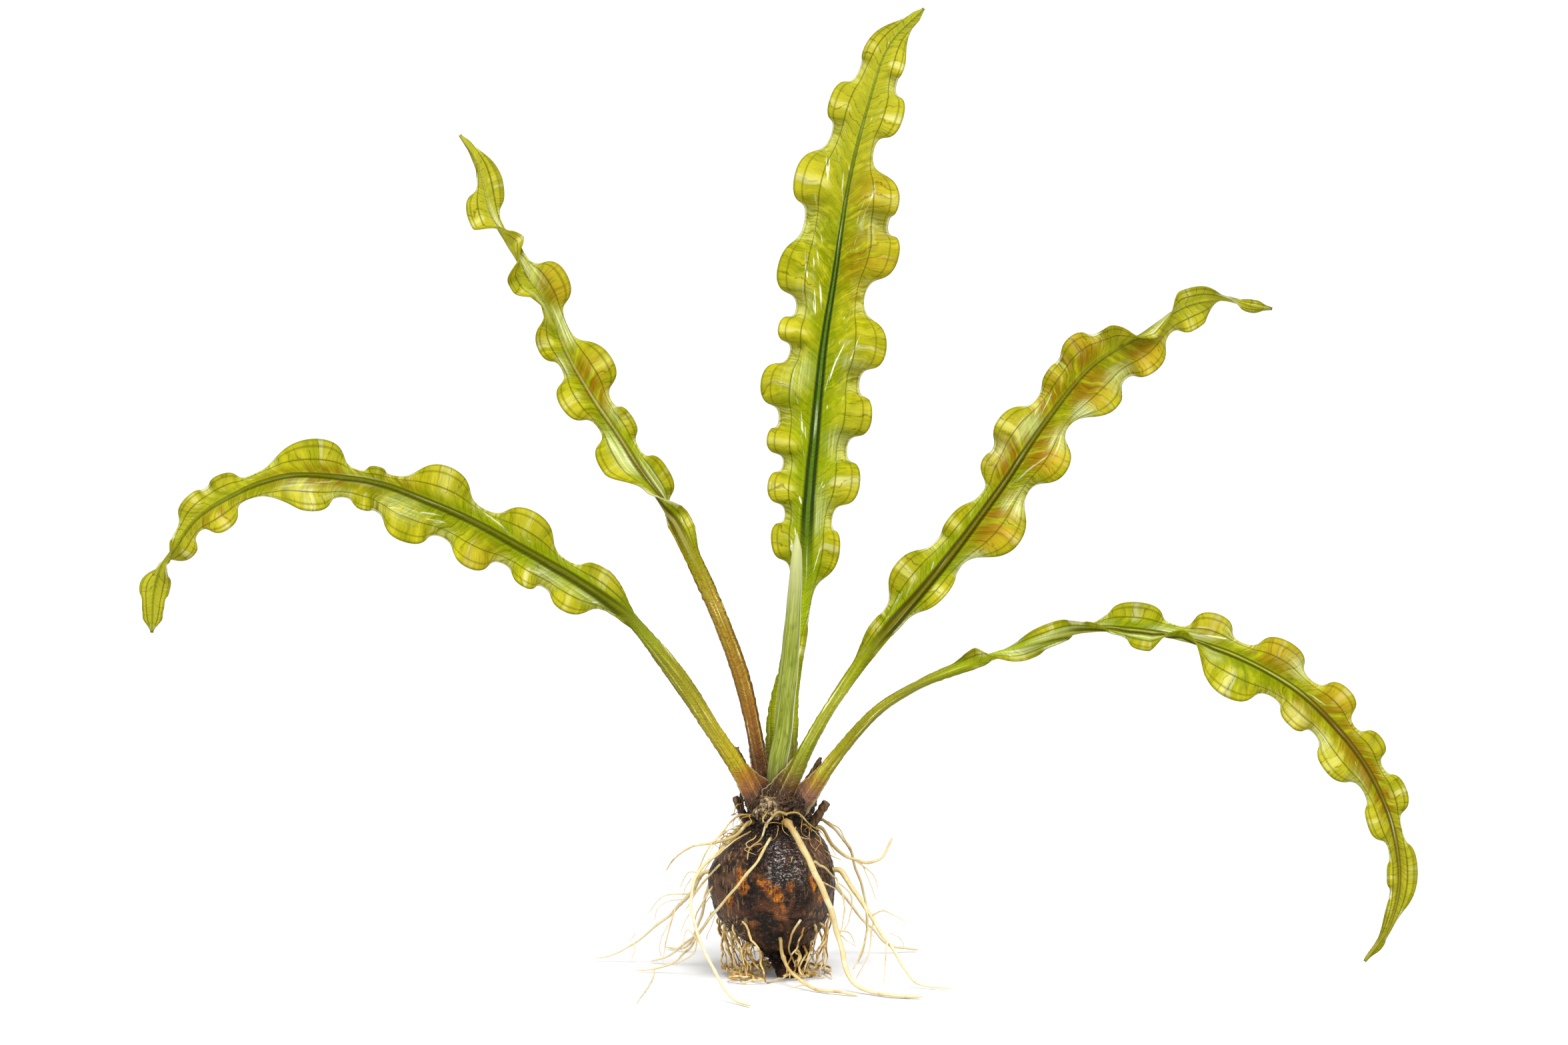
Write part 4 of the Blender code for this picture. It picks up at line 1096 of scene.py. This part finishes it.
# Places from the bulb outwards, then the radius at the bulb and at the tip
ROOTS = {
    "root_front_right": ([
        (1.9, -9.4, 36.0), (4.7, -12.6, 31.8), (7.5, -14.8, 26.5), (9.8, -15.4, 21.6),
        (11.6, -15.2, 16.6), (12.9, -15.4, 11.6), (14.0, -16.6, 7.0), (15.6, -18.6, 2.8),
        (19.0, -21.0, 0.9), (25.0, -25.4, 0.8), (31.6, -26.8, 0.6),
    ], 0.78, 0.40),
    "root_tip_front": ([
        (0.2, -10.3, 10.2), (0.6, -10.9, 6.6), (3.2, -14.0, 2.8), (7.0, -17.8, 0.9),
        (11.6, -21.0, 0.8), (17.5, -23.8, 0.6),
    ], 0.42, 0.34),
    "root_right_low": ([
        (13.4, -3.0, 24.4), (15.8, -4.6, 21.2), (18.9, -6.8, 17.2), (21.6, -9.0, 12.8),
        (25.0, -11.2, 8.0), (27.6, -13.0, 3.8), (30.6, -14.4, 1.0), (38.2, -16.6, 0.5),
    ], 0.62, 0.18),
    "root_right_up": ([
        (9.3, -1.0, 33.6), (11.8, 0.0, 29.6), (15.5, 2.0, 26.4), (19.5, 3.0, 25.2),
        (22.4, 4.0, 26.0), (24.0, 5.0, 28.1), (25.0, 5.0, 30.5),
    ], 0.42, 0.30),
    "root_right_back": ([
        (8.6, 3.0, 35.4), (12.7, 6.0, 31.5), (15.6, 9.0, 26.8), (17.2, 11.0, 21.3),
        (18.8, 12.6, 15.7), (19.5, 13.4, 9.5), (18.6, 13.6, 3.6), (17.6, 14.6, 0.5),
    ], 0.38, 0.24),
    "root_left_pale": ([
        (-7.3, -5.6, 35.4), (-9.9, -7.0, 33.0), (-15.0, -5.6, 31.0), (-19.5, -4.0, 30.0),
        (-22.9, -2.0, 27.6), (-25.3, 0.0, 23.8),
    ], 0.48, 0.14),
    "root_left_front": ([
        (-10.9, -4.2, 31.4), (-13.8, -7.8, 29.0), (-16.8, -11.2, 26.8), (-18.8, -14.6, 24.2),
        (-19.6, -18.0, 20.4), (-19.0, -21.4, 16.6), (-17.2, -24.6, 12.2), (-14.8, -27.0, 7.4),
        (-12.4, -29.0, 3.0), (-9.5, -32.0, 0.8), (-6.4, -37.0, 0.6),
    ], 0.40, 0.32),
    "root_left_far": ([
        (-16.9, 2.2, 23.0), (-19.6, 5.4, 18.2), (-23.1, 9.0, 13.6), (-27.8, 12.4, 9.0),
        (-32.9, 15.0, 4.6), (-37.1, 16.4, 1.9), (-41.8, 17.0, 0.5),
    ], 0.50, 0.14),
    "root_left_orange": ([
        (-2.4, -11.0, 32.6), (-5.3, -14.6, 28.2), (-8.8, -15.0, 23.8), (-12.8, -13.0, 18.6),
        (-16.4, -9.0, 13.8), (-19.0, -4.4, 9.0), (-21.2, -0.6, 5.4), (-24.2, 2.2, 2.4),
        (-28.0, 3.8, 1.0), (-32.2, 4.4, 0.6),
    ], 0.33, 0.22),
    "root_left_low": ([
        (-14.4, 5.4, 13.6), (-16.9, 7.6, 10.0), (-20.4, 10.2, 6.0), (-24.8, 12.8, 2.4),
        (-28.9, 15.4, 0.6),
    ], 0.36, 0.20),
    "root_back_left": ([
        (-6.2, 8.6, 34.0), (-10.0, 12.8, 30.6), (-13.4, 16.4, 25.2), (-15.6, 19.6, 18.6),
        (-17.2, 22.6, 11.6), (-19.0, 25.6, 5.2), (-21.6, 28.4, 1.1), (-26.0, 32.0, 0.6),
    ], 0.50, 0.26),
    "root_back_middle": ([
        (-0.6, 9.6, 34.6), (-1.4, 14.0, 31.4), (-2.2, 17.0, 26.0), (-1.6, 18.6, 19.6),
        (0.2, 20.4, 12.8), (2.4, 23.6, 6.4), (4.4, 27.8, 1.6), (5.8, 34.0, 0.7),
    ], 0.55, 0.26),
    "root_back_right": ([
        (6.2, 11.2, 27.8), (8.8, 14.8, 24.0), (11.8, 18.6, 18.4), (15.6, 22.0, 12.4),
        (20.2, 24.6, 6.6), (25.2, 26.6, 1.9), (31.4, 29.0, 0.6),
    ], 0.48, 0.24),
    "root_back_low": ([
        (-6.8, 12.6, 17.4), (-9.2, 15.6, 13.2), (-10.6, 18.0, 8.4), (-10.4, 20.2, 3.8),
        (-8.6, 23.2, 0.9), (-4.6, 27.4, 0.5),
    ], 0.40, 0.22),
}
ROOT_STEPS = 90
# How far each starts inside the bulb, how far it wavers and how near its start that fades
ROOT_SINK = 2.6
ROOT_WAVER = 0.35
ROOT_STRAIGHT = 8.0
# How uneven the roots are, how thick their knots, and their last steps as they end
ROOT_UNEVEN = 0.20
ROOT_KNOTS = 1.1
ROOT_ENDS = (0.9, 0.65, 0.25)
BULB_AXIS = np.array([-1.3, 0.0, 0.0])
# Side roots: the root each starts on, how far along it, and its further places
SIDE_ROOTS = [
    ("root_right_low", 0.36, [(22.6, -9.4, 16.6), (24.4, -8.6, 15.8), (28.2, -8.0, 13.6)]),
    ("root_right_low", 0.55, [(23.6, -11.4, 9.4), (23.2, -12.2, 5.0), (22.8, -13.0, 0.7)]),
    ("root_right_low", 0.40, [(20.2, -8.6, 12.0), (19.6, -9.4, 7.0), (16.6, -10.6, 1.2)]),
    ("root_right_up", 0.55, [(20.6, 2.4, 22.6), (21.8, 1.6, 19.6)]),
    ("root_left_far", 0.25, [(-26.0, 8.2, 16.6), (-29.4, 8.8, 12.6)]),
    ("root_left_far", 0.42, [(-25.4, 9.0, 6.4), (-26.2, 7.0, 1.6)]),
    ("root_left_far", 0.75, [(-32.6, 13.2, 3.2), (-33.2, 12.4, 1.4)]),
    ("root_left_front", 0.28, [(-20.4, -10.6, 25.2), (-22.2, -9.8, 21.6)]),
    ("root_left_front", 0.62, [(-20.4, -18.6, 14.0), (-21.6, -17.6, 8.6)]),
    ("root_left_orange", 0.62, [(-19.2, -5.4, 6.2), (-23.6, -2.6, 3.0)]),
    ("root_front_right", 0.30, [(11.6, -12.4, 22.4), (12.6, -9.6, 21.2)]),
    ("root_front_right", 0.50, [(15.2, -13.4, 12.4), (16.6, -12.4, 9.6)]),
    ("root_tip_front", 0.55, [(4.6, -17.4, 1.4), (1.6, -19.6, 0.8)]),
    ("root_back_left", 0.45, [(-18.4, 18.6, 16.0), (-21.4, 17.6, 11.4)]),
    ("root_back_middle", 0.50, [(3.2, 20.8, 13.4), (6.4, 22.4, 7.4)]),
    ("root_back_right", 0.50, [(18.0, 20.4, 9.6), (21.4, 18.8, 4.8)]),
]
SIDE_ROOT_STEPS = 28
SIDE_ROOT_RADIUS = (0.19, 0.08)

# Fleshy root skin: cream, tan to orange-brown near the bulb, slightly see-through
root_skin, tree, out = new_material("fleshy root skin")
spot, across, deep, _ = in_millimetres(tree)
level = add_node(tree, "CombineXYZ", {0: across, 1: deep, 2: 0.0})
away = add_node(tree, "VectorMath", {0: level.outputs[0]}, operation="LENGTH").outputs["Value"]
blotch, speck = (
    add_node(tree, "TexNoise", {"Vector": spot, "Scale": grains, "Detail": 3.0}).outputs["Fac"]
    for grains in (0.28, 2.2)
)
tone = painted(
    tree, linear("#A08648"),
    ("#CEBA80", away, 9.0, 16.0),
    ("#E0D2AA", away, 15.0, 30.0),
    ("#A8701C", blotch, 0.56, 0.72, 0.5),
    ("#E4DAB4", blotch, 0.47, 0.34, 0.7),
    ("#7C5420", speck, 0.62, 0.72, 0.45),
)
bump = add_node(tree, "Bump", {"Strength": 0.5, "Distance": 0.2 * MM, "Height": speck})
flesh = add_node(tree, "BsdfPrincipled", {"Base Color": tone, "Roughness": 0.36, "IOR": 1.4,
                                          "Normal": bump.outputs[0]})
glow = add_node(tree, "BsdfTranslucent", {"Color": tone})
both = add_node(tree, "MixShader", {0: 0.25, 1: flesh.outputs[0], 2: glow.outputs[0]})
tree.links.new(both.outputs[0], out.inputs["Surface"])


def root_radii(distance, start, end, seed):
    """A radius at each distance: tapering, gently uneven, with small knots."""
    even = np.linspace(start, end, len(distance))
    uneven = np.array([noise.noise(Vector((d / 2.6, seed, 0.0))) for d in distance])
    knots = np.array([noise.noise(Vector((d / 1.9, seed, 9.0))) for d in distance])
    radii = even * (1 + ROOT_UNEVEN * uneven + ROOT_KNOTS * np.maximum(knots - 0.32, 0.0))
    radii[-len(ROOT_ENDS):] *= ROOT_ENDS
    return radii


for seed, (name, (route, start, end)) in enumerate(ROOTS.items()):
    inward = BULB_AXIS + (0, 0, route[0][2]) - np.array(route[0])
    inside = np.array(route[0]) + inward / np.linalg.norm(inward) * ROOT_SINK
    places, distance = smooth_path([tuple(inside)] + route, ROOT_STEPS)
    waver = np.array([noise.noise_vector(Vector((d / 5.0, seed, 4.0))) for d in distance])
    places += ROOT_WAVER * waver * np.clip(distance / ROOT_STRAIGHT, 0, 1)[:, None]
    places[:, 2] = np.maximum(places[:, 2], end * ROOT_ENDS[0])
    routes = [(places, root_radii(distance, start, end, seed))]
    for parent, share, further in SIDE_ROOTS:
        if parent == name:
            stem = places[int(share * (ROOT_STEPS - 1))]
            side, run = smooth_path([tuple(stem)] + further, SIDE_ROOT_STEPS)
            routes.append((side, root_radii(run, *SIDE_ROOT_RADIUS, seed + share)))
    root = strand_piece(name + "_fleshy", routes, root_skin)
    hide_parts(name)


# Rootlets
# Fine branching rootlets that fringe the underside of the bulb and crumple on the surface.
# Each tuft grows from its own flank of the bulb; golden brown, thinner than a millimetre.

# Start and end angle round the bulb, how many hang from it, and how many lie crumpled below
TUFTS = {
    "rootlets_left": (128, 236, 19, 13),
    "rootlets_right": (-56, 36, 18, 11),
    "rootlets_back": (44, 122, 13, 8),
}
TUFT_STEPS = 26
BRANCH_STEPS = 10
BRANCH_THIN = 0.6
BRANCH_WAVE = 0.3
ROOTLET_RADIUS = (0.17, 0.3)
ROOTLET_WAVE = 0.95
# A fine root waves in long and in short waves and keeps straight this near its start
LONG_WAVE = 2.6
SHORT_WAVE = 0.9
WAVE_STRAIGHT = 2.0
rng = np.random.default_rng(7)


def bulb_radius(z):
    """Radius of the bulb at a height."""
    levels, _, radii = zip(*BULB_RINGS)
    return float(np.interp(z, levels, radii))


def round_bulb(turns):
    """Places given as distance from the bulb's axis, angle round it and height."""
    return [(BULB_AXIS[0] + a * math.cos(b), a * math.sin(b), c) for a, b, c in turns]


def waved(points, steps, thick, wave):
    """A fine root through the points, waved and tapering, that stays above the surface."""
    places, run = smooth_path(points, steps)
    seed = rng.uniform(0, 90)
    stray = np.array([noise.noise_vector(Vector((d / LONG_WAVE, seed, 0.0)))
                      + 0.2 * noise.noise_vector(Vector((d / SHORT_WAVE, seed, 5.0)))
                      for d in run])
    places += wave * stray * np.clip(run / WAVE_STRAIGHT, 0, 1)[:, None]
    radii = thick * np.linspace(1.2, 0.6, steps)
    places[:, 2] = np.maximum(places[:, 2], radii)
    return places, radii


def hanging(angle):
    """One rootlet and its branches: out of the bulb's underside, down, then in below it."""
    z = rng.uniform(7.0, 15.5)
    r = bulb_radius(z) - 0.6
    drift = rng.normal(0, 0.24)
    low = r * rng.uniform(0.55, 1.05) + 0.6
    turns = [
        (r, angle, z),
        (r + rng.uniform(0.4, 1.5), angle + drift * 0.3, z - rng.uniform(1.0, 2.6)),
        ((r + low) / 2 + rng.uniform(-0.2, 1.2), angle + drift * 0.7, z * rng.uniform(0.4, 0.55)),
        (low, angle + drift, rng.uniform(0.5, 2.2)),
        (low * rng.uniform(0.55, 1.0), angle + drift * rng.uniform(1.0, 2.2),
         rng.uniform(0.2, 1.0)),
    ]
    turns = turns[:rng.integers(4, 6)]
    thick = rng.uniform(*ROOTLET_RADIUS)
    stems = [waved(round_bulb(turns), TUFT_STEPS, thick, ROOTLET_WAVE)]
    for share in rng.uniform(0.25, 0.8, rng.integers(0, 3)):
        x, y, z = stems[0][0][int(share * (TUFT_STEPS - 1))]
        a, b = math.hypot(x - BULB_AXIS[0], y), math.atan2(y, x - BULB_AXIS[0])
        out = rng.uniform(-1.6, 1.8)
        end = (a + out, b + rng.normal(0, 0.2), max(z - rng.uniform(1.0, 3.6), 0.2))
        middle = (a + out * 0.7, (b + end[1]) / 2, (z + end[2]) / 2)
        stems.append(waved(round_bulb([(a, b, z), middle, end]), BRANCH_STEPS,
                           thick * BRANCH_THIN, BRANCH_WAVE))
    return stems


def lying(angle):
    """One rootlet crumpled on the surface round the bulb's knob."""
    r = rng.uniform(4.5, 11.5)
    turn = rng.choice((-1, 1)) * rng.uniform(0.15, 0.4)
    turns = [(r + rng.normal(0, 1.2), angle + turn * step, rng.uniform(0.2, 2.0))
             for step in (-1.5, -0.5, 0.5, 1.5)]
    return waved(round_bulb(turns), TUFT_STEPS, rng.uniform(*ROOTLET_RADIUS), ROOTLET_WAVE)


# Rootlet skin: thin golden-brown bark with cream patches, darker near the bulb
rootlet_skin, tree, out = new_material("fine rootlet skin")
spot, _, _, height = in_millimetres(tree)
blotch = add_node(tree, "TexNoise", {"Vector": spot, "Scale": 0.5, "Detail": 3.0})
tone = painted(
    tree, linear("#9C7020"),
    ("#E0C684", blotch.outputs["Fac"], 0.4, 0.6),
    ("#7A581C", height, 6.0, 14.0, 0.5),
)
bark = add_node(tree, "BsdfPrincipled", {"Base Color": tone, "Roughness": 0.42})
tree.links.new(bark.outputs[0], out.inputs["Surface"])

for name, (start, end, count, crumpled) in TUFTS.items():
    angles = np.radians(np.linspace(start, end, count) + rng.normal(0, 2.0, count))
    strands = [stem for angle in angles for stem in hanging(angle)]
    strands += [lying(angle) for angle in np.radians(np.linspace(start, end, crumpled))]
    tuft = strand_piece(name + "_fine", strands, rootlet_skin, 1)
    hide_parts(name)


# Hair roots
# Thin pale roots that arch out of the neck between the thick ones, and torn fibres all round
# the neck and the crown. The hair roots in front lie where they are seen.

PICTURE_PIXEL = 0.147
PICTURE_MIDDLE = (1176, 784)


def sighted(column, row, depth):
    """The place in mm, at a depth, that the camera sees at a column and row of the picture."""
    right = (column - PICTURE_MIDDLE[0]) * PICTURE_PIXEL
    up = (PICTURE_MIDDLE[1] - row) * PICTURE_PIXEL
    rise = (up - depth * math.sin(CAMERA_TILT)) / math.cos(CAMERA_TILT)
    return VIEW_MIDDLE.x / MM + right, depth, VIEW_MIDDLE.z / MM + rise


# Radius, and columns, rows and depths where each is seen
HAIR_ROOTS = [
    (0.22, [(1124, 1224, -3), (1104, 1226, -4), (1092, 1240, -5), (1076, 1258, -6),
            (1061, 1276, -7), (1050, 1298, -7), (1044, 1320, -7), (1040, 1346, -6)]),
    (0.14, [(1114, 1207, -2), (1104, 1211, -3), (1099, 1226, -3)]),
    (0.15, [(1122, 1240, -4), (1104, 1240, -6), (1090, 1247, -7), (1074, 1262, -8),
            (1064, 1280, -9)]),
    (0.17, [(1126, 1248, -6), (1110, 1258, -8), (1096, 1266, -9), (1080, 1280, -9),
            (1066, 1292, -9), (1056, 1308, -9)]),
    (0.22, [(1080, 1298, -6), (1062, 1316, -6), (1048, 1334, -6), (1036, 1348, -5)]),
    (0.20, [(1072, 1328, -4), (1056, 1352, -5), (1046, 1370, -5), (1041, 1384, -5)]),
    (0.11, [(1070, 1342, -3), (1054, 1360, -3), (1046, 1368, -3)]),
    (0.10, [(1022, 1353, 2), (1002, 1357, 1), (986, 1366, 0), (980, 1384, 1)]),
    (0.11, [(1012, 1366, 8), (1004, 1390, 5), (992, 1408, 4), (987, 1428, 4), (990, 1442, 5)]),
    (0.10, [(1037, 1318, -9), (1028, 1332, -8), (1024, 1348, -7)]),
    (0.11, [(1034, 1370, -18), (1023, 1392, -17), (1022, 1404, -17)]),
    (0.09, [(950, 1408, 14), (942, 1422, 13), (938, 1428, 13)]),
    (0.18, [(980, 1459, 3.8), (976, 1474, -8), (957, 1498, -33)]),
    (0.17, [(1200, 1222, -5.5), (1214, 1240, -4), (1222, 1262, -3), (1242, 1282, -3),
            (1262, 1292, -3)]),
    (0.13, [(1224, 1242, -3), (1236, 1256, -4), (1246, 1270, -4), (1254, 1286, -5)]),
    (0.24, [(1192, 1266, -8), (1189, 1282, -10), (1186, 1294, -11.6)]),
    (0.14, [(1197, 1284, -9.6), (1202, 1292, -10.2), (1204, 1302, -10.8)]),
    (0.28, [(1222, 1292, -12), (1238, 1304, -9.5), (1255, 1320, -5)]),
    (0.18, [(1255, 1318, -5), (1265, 1350, -7), (1266, 1380, -8), (1261, 1402, -9)]),
    (0.14, [(1258, 1326, -4), (1277, 1346, -6), (1275, 1376, -7), (1266, 1398, -8)]),
    (0.10, [(1260, 1402, -14), (1270, 1410, -13), (1284, 1421, -12)]),
    (0.10, [(1291, 1294, 3), (1303, 1322, 2), (1315, 1354, 1)]),
    (0.09, [(1332, 1400, -12), (1347, 1405, -11), (1355, 1418, -10), (1353, 1430, -10)]),
    (0.17, [(1293, 1350, -9), (1300, 1372, -10), (1301, 1392, -10), (1296, 1418, -11),
            (1289, 1438, -12), (1280, 1455, -13)]),
    (0.24, [(1201, 1380, -12), (1189, 1400, -12), (1184, 1424, -10.4), (1191, 1447, -8)]),
    (0.22, [(1149, 1236, -7.4), (1141, 1258, -8.6), (1126, 1272, -9.2), (1121, 1292, -10.6),
            (1118, 1306, -11.4)]),
    (0.34, [(1180, 1222, -7.6), (1166, 1219, -8.6), (1154, 1230, -9), (1149, 1242, -8.6)]),
    (0.22, [(1176, 1222, -7.6), (1196, 1221, -8), (1212, 1234, -7), (1226, 1246, -4.4)]),
    (0.13, [(1176, 1260, -8), (1181, 1272, -9.6), (1177, 1284, -10.8)]),
    (0.15, [(1226, 1233, 0), (1246, 1236, 0), (1262, 1250, 1), (1272, 1272, 2)]),
    (0.09, [(1066, 1370, -4), (1058, 1392, -4), (1050, 1404, -4)]),
    (0.09, [(1072, 1376, -5), (1064, 1398, -6), (1060, 1412, -6)]),
]
HAIR_STEPS = 30
HAIR_WAVE = 0.25
hairs = [waved([sighted(*spot) for spot in seen], HAIR_STEPS, radius, HAIR_WAVE)
         for radius, seen in HAIR_ROOTS]
pale_hairs = strand_piece("hair_roots", hairs, root_skin, 2)

NECK_FIBRES = 42
NECK_FIBRE_STEPS = 18
CROWN_FIBRES = 80
CROWN_FIBRE_STEPS = 12
FIBRE_RADIUS = (0.06, 0.14)
FIBRE_WAVE = 0.5

fibres = []
spaced = np.linspace(0, 2 * math.pi, NECK_FIBRES, endpoint=False)
for angle in spaced + rng.normal(0, 0.06, NECK_FIBRES):
    z = rng.uniform(31.0, 38.5)
    r = bulb_radius(z) - 0.5
    spread = rng.uniform(0.6, 4.0)
    drop = rng.uniform(1.0, 5.5)
    low = z - drop
    turns = [
        (r, angle, z),
        (r + 0.6 * spread, angle + rng.normal(0, 0.08), z + rng.uniform(-0.4, 1.0)),
        (r + spread + 0.8, angle + rng.normal(0, 0.16), z - 0.5 * drop),
        (bulb_radius(low) + rng.uniform(0.3, 1.6), angle + rng.normal(0, 0.25), low),
    ]
    fibres.append(waved(round_bulb(turns), NECK_FIBRE_STEPS, rng.uniform(*FIBRE_RADIUS),
                        FIBRE_WAVE))
torn_fibres = strand_piece("neck_fibres", fibres, rootlet_skin, 1)

fibres = []
for angle in rng.uniform(0, 2 * math.pi, CROWN_FIBRES):
    r = bulb_radius(38.5) + rng.uniform(-0.9, 0.1)
    turn = rng.normal(0, 0.2)
    turns = [(r, angle, 38.0), (r + 0.3, angle + 0.3 * turn, 39.6),
             (r + rng.uniform(-0.6, 0.5), angle + turn, rng.uniform(40.5, 42.6))]
    fibres.append(waved(round_bulb(turns), CROWN_FIBRE_STEPS, rng.uniform(*FIBRE_RADIUS),
                        FIBRE_WAVE))
crown_fibres = strand_piece("crown_fibres", fibres, papery, 1)
